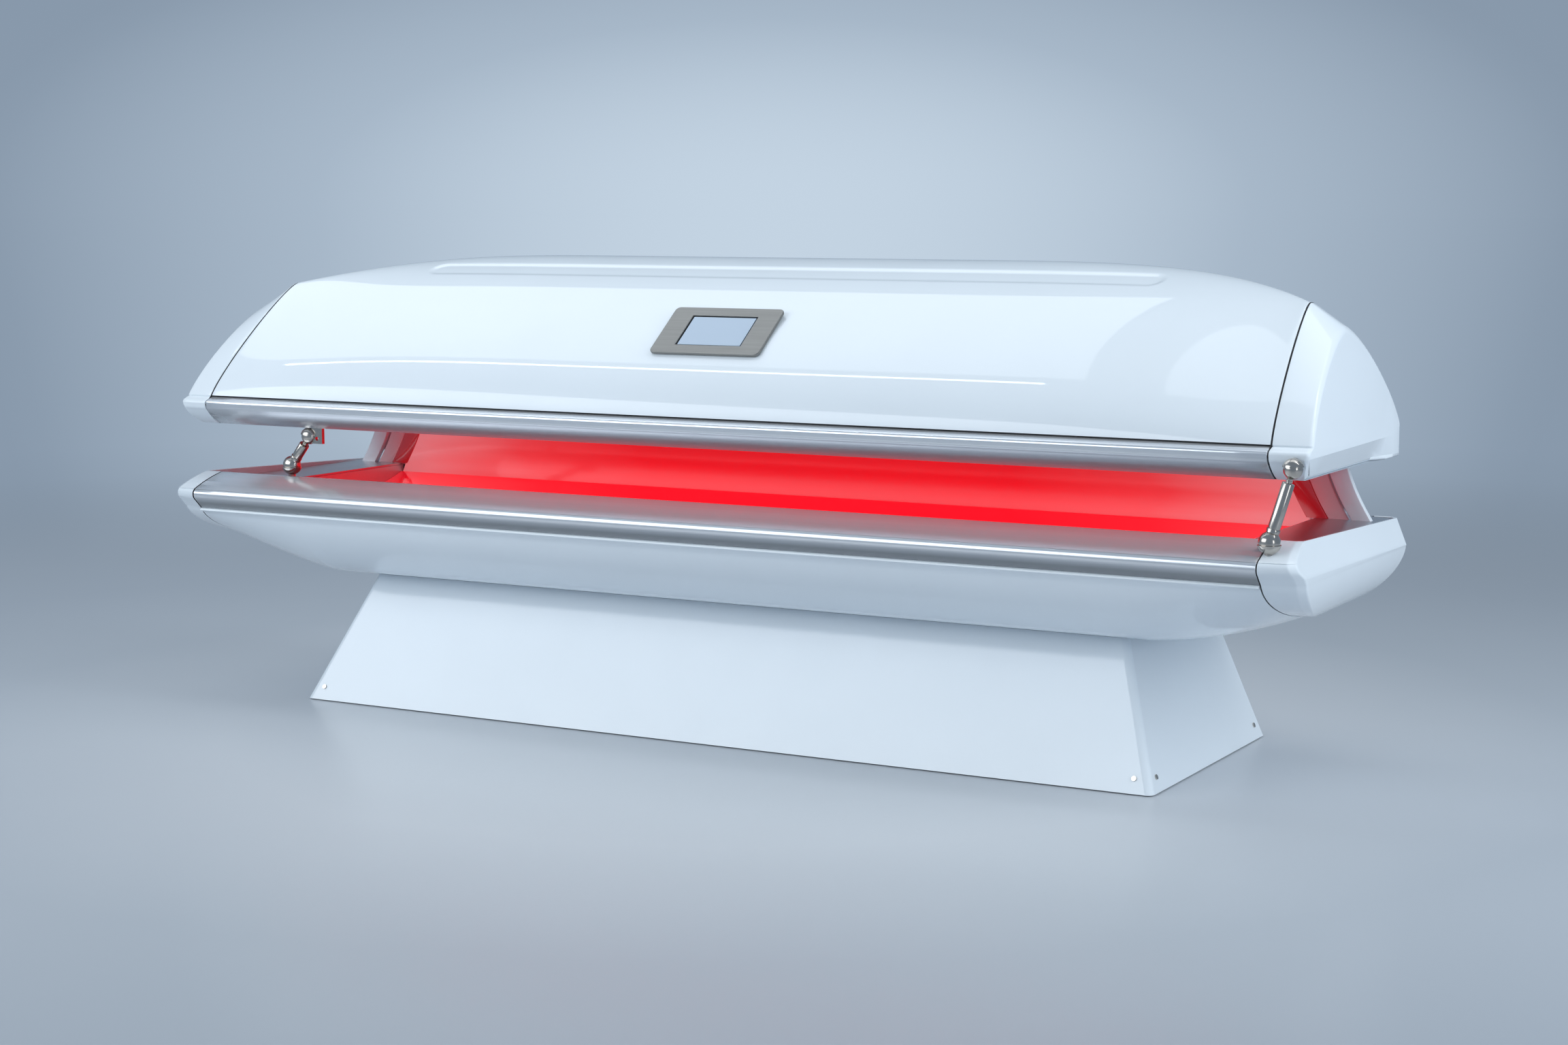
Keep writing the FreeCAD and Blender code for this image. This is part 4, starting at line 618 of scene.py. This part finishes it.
def canopy_cap():
    rows = []
    for away, shrink in SEAM_EDGE:
        rows.append([tucked(p, 0) for p in cap_section(SEAM + away, shrink)])
    start = SEAM_EDGE[-1][0]
    for i in range(1, CAP_ROWS + 1):
        x = SEAM + start + (CAP_REACH - CAP_BEVEL - start) * i / CAP_ROWS
        rows.append([tucked(p, 0) for p in cap_section(x, 0)])
    for i in range(1, BEVEL_ROWS + 1):
        turn = math.pi / 2 * i / BEVEL_ROWS
        inward = CAP_BEVEL * (1 - math.cos(turn))
        short = CAP_BEVEL * (1 - math.sin(turn))
        rows.append([tucked(p, short) for p in cap_section(CAP_END - short, inward)])
    return joined(skin(rows, wrap=True), flat_end(rows[0]), end_face(rows[-1]))


cap = canopy_cap()
add_piece("canopy_cap_right", mesh_of(*cap), "canopy_end_cap_right", 22)
add_piece("canopy_cap_left", mesh_of(*mirrored(*cap)), "canopy_end_cap_left", 22)

# Bench front rail: bowed upper face, round nose and a lower face that tucks in
HULL_FRONT = 313
BENCH_CREST = [(-246.5, 445.6), (-247.2, 446.7), (-248.5, 447.3)]
BENCH_UPPER = bow((-251, 447.2), (-332, 420), -2.5, 16)
BENCH_LOWER = rounded([(-332, 420, 0), (-346.5, 414.0, 13), (-HULL_FRONT, RAIL_FOOT, 3),
                       (-300, RAIL_FOOT, 0)], 10)
BENCH_INSIDE = [(-216, RAIL_FOOT), (-216, 423), (-245, 423)]
BENCH_NOSE = BENCH_CREST + BENCH_UPPER + BENCH_LOWER[1:]
add_piece("bench_rail_extrusion", mesh_of(*extrusion(BENCH_NOSE + BENCH_INSIDE)), "bench_front_rail", 40)

# Bench hull: cubic side curves, flat floor and ends that rise
HULL_FLAT = 860
HULL_FLOOR, HULL_RISE = 250, 47
FRONT_FOOT, FRONT_FOOT_END = 144, 14  # the floor's front edge along the middle and at the seams
REAR_FOOT, REAR_FOOT_END = 304, 106
FRONT_TUCK = 20
FLARE = 0.45
SIDE_STEPS, FLOOR_STEPS = 28, 6
HULL_LIP = ((5, 0), (-1.5, 0), (-4.0, -2.2), (-4.2, -5.0))


def cubic(poles, share):
    a, b, c, d = [Vector(p) for p in poles]
    rest = 1 - share
    return tuple(a * rest ** 3 + b * 3 * rest ** 2 * share + c * 3 * rest * share ** 2 + d * share ** 3)


def hull_side(x, side, inset):
    """Poles of the hull's front (side -1) or rear curve at X, from the rail down to the floor."""
    share = max(0.0, (abs(x) - HULL_FLAT) / (SEAM - HULL_FLAT))
    floor_z = HULL_FLOOR + HULL_RISE * share ** 2 + inset
    if side < 0:
        top = inset - HULL_FRONT
        foot = inset / 2 - (FRONT_FOOT + (FRONT_FOOT_END - FRONT_FOOT) * share)
        tuck = FRONT_TUCK
    else:
        top = BACK - inset
        foot = REAR_FOOT + (REAR_FOOT_END - REAR_FOOT) * share - inset / 2
        tuck = 0
    half_way = RAIL_FOOT - 0.5 * (RAIL_FOOT - floor_z)
    return [(top, RAIL_FOOT), (top + tuck, half_way), (foot + FLARE * (top - foot), floor_z), (foot, floor_z)]


def hull_row(x, inset):
    front, back = [[cubic(hull_side(x, side, inset), i / SIDE_STEPS) for i in range(SIDE_STEPS + 1)]
                   for side in (-1, 1)]
    floor = [tuple(Vector(front[-1]).lerp(Vector(back[-1]), i / FLOOR_STEPS)) for i in range(1, FLOOR_STEPS)]
    return [(x, y, z) for y, z in front + floor + back[::-1]]


def bench_hull():
    half = [40 * i for i in range(22)] + [HULL_FLAT + 6 * i for i in range(40)]
    xs = [x for x in half if x < SHELL_END - 1] + [SHELL_END]
    rows = []
    for x in [-x for x in reversed(xs) if x] + xs:
        outer = hull_row(x, 0)
        inner = hull_row(x, GAUGE)
        y, z = outer[0][1:]
        lip = [(x, y + out, z + down) for out, down in HULL_LIP]
        rows.append(lip + outer[2:] + inner[::-1])
    return joined(skin(rows, wrap=True), flat_end(rows[0]), flat_end(rows[-1]))


add_piece("hull_moulding", mesh_of(*bench_hull()), "bench_hull", 45)

# Bench end caps: level outlines with rounded plan corners, following the rail and then the hull
CAP_RIM_Z = 447
BENCH_RIDGE_Z = 394
CAP_LIP_REACH, BENCH_REACH = 46, 67
CAP_TAPER = 16
RIM_FALL, RIDGE_FALL = 20, 12  # the rim and the ridge fall towards the back
RIDGE_DROPS = (0.0, 1.0, 3.0, 6.0, 9.0, 12.0)
UNDER_STEPS = 24
UNDER_SHARE = 0.97
PLAN_BEVEL = 14
# The rim's inside wall and rounded top, as (inset, drop)
RIM_ROWS = ((4.6, 24.0), (4.6, 1.0), (4.0, 0.3), (3.2, 0.0), (1.0, 0.0))


def under_ridge(z, front, back, fall):
    """Row of the underside, which rounds in below the ridge."""
    down = (BENCH_RIDGE_Z - z) / (BENCH_RIDGE_Z - HULL_FLOOR - HULL_RISE)
    reach = BENCH_REACH * math.sqrt(max(0.0, 1 - down ** 2))
    return z, front, back, reach, CAP_TAPER * reach / BENCH_REACH, fall


def bench_levels():
    """Rows of (z, front y, back y, reach, taper, fall) from the rim down."""
    rows = []
    for y, z in BENCH_NOSE[2:]:
        if z > BENCH_RIDGE_Z + 0.5:
            share = max(0.0, (CAP_RIM_Z - z) / (CAP_RIM_Z - BENCH_RIDGE_Z))
            reach = CAP_LIP_REACH + (BENCH_REACH - CAP_LIP_REACH) * share
            rows.append((z, y, BACK, reach, CAP_TAPER * share, RIM_FALL - (RIM_FALL - RIDGE_FALL) * share))
    for drop in RIDGE_DROPS:
        z = BENCH_RIDGE_Z - drop
        fall = RIDGE_FALL * (1 - drop / (BENCH_RIDGE_Z - RAIL_FOOT))
        rows.append(under_ridge(z, RAIL_FOOT - HULL_FRONT - z, BACK, fall))
    for i in range(UNDER_STEPS + 1):
        share = UNDER_SHARE * i / UNDER_STEPS
        front, back = [cubic(hull_side(SEAM, side, 0), share) for side in (-1, 1)]
        rows.append(under_ridge(front[1], front[0], back[0], 0))
    return rows


def cap_plan(z, front, back, reach, taper, fall, inset=0.0):
    """Plan outline with rounded corners, from the seam's front round the end to its back."""
    bevel = PLAN_BEVEL * reach / BENCH_REACH
    end = SEAM + reach - inset
    slope = fall / (back - front)
    near = front + inset
    far = back - inset
    corner = max(1.0, min(10.0, reach * 0.16))
    corners = [(SEAM, near, 0), (end - bevel, near + taper, corner), (end, near + taper + bevel, corner),
               (end, far - 2 * bevel, corner), (end - bevel, far, corner), (SEAM, far, 0)]
    return [(x, y, z - slope * (y - front)) for x, y in rounded(corners, 6)]


def bench_cap():
    levels = bench_levels()
    rim_z, *rim_plan = levels[0]
    rows = [cap_plan(rim_z - drop, *rim_plan, inset) for inset, drop in RIM_ROWS]
    rows += [cap_plan(*level) for level in levels]
    bottom = levels[-1][0] - 0.5
    rows.append([(SEAM + (x - SEAM) * 0.05, y, bottom) for x, y, z in rows[-1]])
    return skin(rows)


cap = bench_cap()
add_piece("bench_cap_right", mesh_of(*cap), "bench_end_cap_right", 40)
add_piece("bench_cap_left", mesh_of(*mirrored(*cap)), "bench_end_cap_left", 40)

# Strips at the ends of the red wall curve outwards at the bottom
STRIP_STEPS = 24
STRIP_LEAN, LEAN_POWER = 48, 1.5
STRIP_BACK = 238
STRIP_EDGE = 2.0


def wall_strip(inner, outer, front):
    """Upright strip between two curved edges, with rounded front corners."""
    rows = []
    for i in range(STRIP_STEPS + 1):
        share = i / STRIP_STEPS
        z = WALL_LOW + (WALL_TOP - WALL_LOW) * share
        lean = STRIP_LEAN * (1 - (1 - share) ** LEAN_POWER)
        a, b = inner - lean, outer - lean
        corners = [(a, STRIP_BACK, 0), (a, front, STRIP_EDGE), (b, front, STRIP_EDGE), (b, STRIP_BACK, 0)]
        rows.append([(x, y, z) for x, y in rounded(corners, 4)])
    return skin(rows, wrap=True, ends=True)


for node, inner, outer, front in (("rear_end_strips", 999, 1038, 230), ("rear_trims", 1039, 1076, 231),
                                  ("rear_ribs", 1082, 1118, 226)):
    strip = wall_strip(inner, outer, front)
    add_piece(node + "_curved", mesh_of(*joined(strip, mirrored(*strip))), node, 40)

# Struts: turned balls, barrels and rods, as (distance along the strut, radius)
LOW_BALL, TOP_BALL = 18, 16
BALL_STEPS = 24
BARREL_SHORT = 23  # from the barrel's end to the top ball's centre
BARREL_NECK = [(16.0, 9.5), (16.6, 11.0), (22.5, 11.0), (23.2, 10.6), (23.4, 9.2), (25.0, 9.2), (25.3, 10.2)]
BARREL_MOUTH = [(-1.2, 10.2), (-0.3, 9.6), (0, 8.4), (0, 4.9), (-4, 4.8)]  # from the barrel's end
ROD_FOOT = [(18.5, 0.5), (18.5, 4.5)]
ROD_COLLAR = [(-21, 4.5), (-20.5, 5.6), (-18.5, 5.6), (-18, 4.8), (-16.5, 4.8)]  # from the top ball's centre


def ball(centre, radius):
    turns = [math.pi * i / BALL_STEPS for i in range(BALL_STEPS + 1)]
    return [(centre - radius * math.cos(turn), radius * math.sin(turn)) for turn in turns]


def strut(name, low, top):
    low, top = Vector(low), Vector(top)
    axis = top - low
    length = axis.length
    barrel = ball(0, LOW_BALL)[:-6] + BARREL_NECK
    barrel += [(length - BARREL_SHORT + along, radius) for along, radius in BARREL_MOUTH]
    add_piece(name + "_barrel", mesh_of(*lathe(barrel, low, axis)), name + "_strut_cylinder", 40)
    rod = ROD_FOOT + [(length + along, radius) for along, radius in ROD_COLLAR] + ball(length, TOP_BALL)[3:]
    add_piece(name + "_piston", mesh_of(*lathe(rod, low, axis)), name + "_strut_rod", 40)


strut("right", (1109, -304, 450), (1143.2, -298.4, 568))
strut("left", (-937, -226, 467), (-884, -234, 527))

# CAD nodes that only need softer edges
for node, bevel in (("pedestal_cover", 0.8), ("bench_rear_rail", 1.5), ("canopy_rear_rail", 1.5),
                    ("bench_deck", 0.8), ("rear_wall_frame", 1.0), ("screen_bezel", 1.6),
                    ("mains_inlet", 0.6), ("hinge_bracket_left", 1.2), ("hinge_bracket_right", 1.2),
                    ("hinge_arm_left", 1.2), ("hinge_arm_right", 1.2), ("canopy_end_plates", 0.8),
                    ("trough_end_plates", 0.6), ("led_driver_left", 2.0), ("led_driver_right", 2.0),
                    ("canopy_acrylic", 0.4), ("left_strut_lower_socket", 0.4),
                    ("left_strut_upper_socket", 0.4), ("right_strut_lower_socket", 0.4),
                    ("right_strut_upper_socket", 0.4)):
    dress(node, bevel)
dress("bench_acrylic", 0.4, look=LIT_SHEET)

GLASS_SHORT_X, GLASS_SHORT_UP = 0.04, 0.06
DIFFUSER_GROWTH = 1.0135


def pane(corner):
    """Glass corner drawn in from the window's edge, so that the dark gap round it shows."""
    offset = corner - SCREEN * MM
    drawn_in = SCREEN_UP * offset.dot(SCREEN_UP) * GLASS_SHORT_UP + Vector((offset.x * GLASS_SHORT_X, 0, 0))
    return corner - drawn_in


def widened(corner):
    """Corner of the diffuser carried on behind the strips at its ends."""
    return Vector((corner.x * DIFFUSER_GROWTH, corner.y, corner.z))


dress("screen_glass", 0.5, fitted=pane)
dress("rear_wall_diffuser", 1.0, fitted=widened)

# Stage, in metres: a pale floor that runs out into a blue-grey backdrop, lighter behind the object
VIEW_TURN = math.radians(29.003)
GLOW = (-math.sin(VIEW_TURN), math.cos(VIEW_TURN), 0.0)
GLOW_SPOT = (2.0, -3.6, 0.0)
GLOW_NEAR = (1.2, 2.9)
GLOW_LEAST = 0.88
GLOW_STRETCH = (1.0, 1.0, 2.6)
GLOW_STOPS = [(0.0, (0.235, 0.30, 0.385)), (0.90, (0.235, 0.305, 0.395)), (0.955, (0.25, 0.32, 0.41)),
              (0.985, (0.39, 0.48, 0.585)), (1.0, (0.55, 0.655, 0.765))]
FLOOR_RADIUS = 150
# Floor colour lighter in the middle and darker further out: a painted pool of light round the object
LIT_POOL_RADIUS = 4.0
FLOOR_POOL_OF_LIGHT = [(0.0, (0.57, 0.60, 0.64)), (0.25, (0.57, 0.60, 0.64)), (0.4, (0.43, 0.47, 0.52)),
               (0.6, (0.38, 0.42, 0.475))]
FAR_FROM, FAR_TO = 1.7, 6.2
FAR_STOPS = [(0.0, grey(0)), (0.25, grey(0.12)), (0.75, grey(0.88)), (1.0, grey(1))]
WORLD_LIGHT = (0.84, 0.93, 1.0, 1.0)
WORLD_LEVEL = 0.45
LAMP_WHITE = (0.90, 0.955, 1.0)
LAMP_RED = (1.0, 0.03, 0.06)


class Stage(Look):
    """Node tools on the floor's material or the world."""

    def __init__(self, tree):
        self.tree = tree
        self.coords = tree.nodes.new("ShaderNodeTexCoord")

    def glow(self, direction, spot=(0.0, 0.0, 0.0), near=None):
        """Backdrop colour by direction from a fixed spot; it falls off faster upwards than sideways.
        Within the near range of the spot it fades to the plain backdrop."""
        away = [-c for c in spot]
        direction = self.add("Mapping", Vector=direction, Location=away, Scale=GLOW_STRETCH).outputs["Vector"]
        unit = self.vector("NORMALIZE", direction)["Vector"]
        level = self.vector("DOT_PRODUCT", unit, GLOW)["Value"]
        if near:
            reach = self.vector("LENGTH", direction)["Value"]
            fade = self.math("MINIMUM", self.span(reach, *near, GLOW_LEAST, 1.0), 1.0)
            level = self.math("MULTIPLY", level, fade)
        return self.ramp(level, GLOW_STOPS)

    def mix(self, share, first, second):
        node = self.tree.nodes.new("ShaderNodeMixShader")
        self.fill(node.inputs, (share, first, second))
        return node.outputs["Shader"]


def stage_floor():
    bpy.ops.mesh.primitive_circle_add(vertices=128, radius=FLOOR_RADIUS, fill_type="NGON")
    floor = bpy.context.object
    floor.name = "floor"
    look = Look("floor", Roughness=0.36, Coat_Weight=0.3, Coat_Roughness=0.2)
    floor.data.materials.append(look.material)
    look.link(look.vary(look.noise(2.5), 0.35, 0.37), "Roughness")
    stage = Stage(look.tree)
    place = stage.coords.outputs["Object"]
    far = stage.add("Emission", Color=stage.glow(place, GLOW_SPOT, GLOW_NEAR), Strength=1.0)
    away = stage.vector("LENGTH", place)["Value"]
    # Painted pool of light: the floor's colour by distance from the middle
    radius = look.math("MULTIPLY", away, look.vary(look.noise(0.8), 0.96, 1.04))
    look.link(look.ramp(look.span(radius, 0.0, LIT_POOL_RADIUS, 0.0, 1.0), FLOOR_POOL_OF_LIGHT), "Base Color")
    share = stage.ramp(stage.span(away, FAR_FROM, FAR_TO, 0.0, 1.0), FAR_STOPS)
    mixed = stage.mix(share, look.shader.outputs["BSDF"], far.outputs["Emission"])
    look.tree.links.new(mixed, look.tree.nodes["Material Output"].inputs["Surface"])


def stage_world():
    world = bpy.data.worlds.new("studio")
    scene.world = world
    world.use_nodes = True
    stage = Stage(world.node_tree)
    shown = stage.add("Background", Color=stage.glow(stage.coords.outputs["Generated"]), Strength=1.0)
    light = stage.add("Background", Color=WORLD_LIGHT, Strength=WORLD_LEVEL)
    path = stage.tree.nodes.new("ShaderNodeLightPath")
    direct = stage.math("MAXIMUM", path.outputs["Is Camera Ray"], path.outputs["Is Glossy Ray"])
    direct = stage.math("MAXIMUM", direct, path.outputs["Is Transmission Ray"])
    mixed = stage.mix(direct, light.outputs["Background"], shown.outputs["Background"])
    stage.tree.links.new(mixed, stage.tree.nodes["World Output"].inputs["Surface"])


def softbox(name, place, aim, width, height, power, color=LAMP_WHITE, shine=True):
    """Area lamp that the camera doesn't see; with shine, reflections show it."""
    light = bpy.data.lights.new(name, "AREA")
    light.shape = "RECTANGLE"
    light.size = width
    light.size_y = height
    light.energy = power
    light.color = color
    item = bpy.data.objects.new(name, light)
    scene.collection.objects.link(item)
    item.location = place
    item.rotation_euler = (Vector(aim) - Vector(place)).to_track_quat("-Z", "Y").to_euler()
    item.visible_camera = False
    item.visible_glossy = shine
    return light


stage_floor()
stage_world()
softbox("ceiling_left", (-1.65, 0.62, 2.95), (-1.65, 0.62, 0.0), 3.1, 1.7, 19)
softbox("ceiling_right", (1.2, 0.40, 3.0), (1.2, 0.40, 0.0), 2.1, 1.7, 11)
softbox("ceiling_strip", (-1.5, -0.36, 2.72), (-1.5, -0.36, 0.0), 2.7, 0.04, 3.0)
softbox("cap_strip", (2.5, 0.0, 3.0), (1.2, 0.0, 0.6), 0.22, 1.8, 7)
softbox("front_left", (-2.1, -3.0, 2.1), (-0.3, 0.0, 0.4), 4.0, 2.2, 74)
softbox("right_end", (3.4, 0.0, 1.65), (1.1, 0.1, 0.45), 2.0, 2.0, 48, shine=False)
softbox("right_front", (3.7, -1.65, 1.0), (1.1, -0.2, 0.4), 0.6, 1.4, 7)
red_glow = softbox("red_glow", (0.0, 0.11, 0.532), (0.0, 0.11, 0.0), 1.96, 0.2, 3.5, LAMP_RED)
red_glow.spread = math.radians(110)

# Camera at the photograph's angle
VIEW_PITCH = math.radians(7.05)
VIEW_TARGET = Vector((0.033213, 0.046, 0.379671))
VIEW_DISTANCE = 4.962984
camera = bpy.data.cameras.new("camera")
camera.lens = 59.718
camera.sensor_width = 36
camera.sensor_fit = "HORIZONTAL"
camera.clip_end = 200
eye = bpy.data.objects.new("camera", camera)
scene.collection.objects.link(eye)
level = math.cos(VIEW_PITCH)
ahead = Vector((-math.sin(VIEW_TURN) * level, math.cos(VIEW_TURN) * level, -math.sin(VIEW_PITCH)))
eye.location = VIEW_TARGET - ahead * VIEW_DISTANCE
eye.rotation_euler = ahead.to_track_quat("-Z", "Y").to_euler()
scene.camera = eye
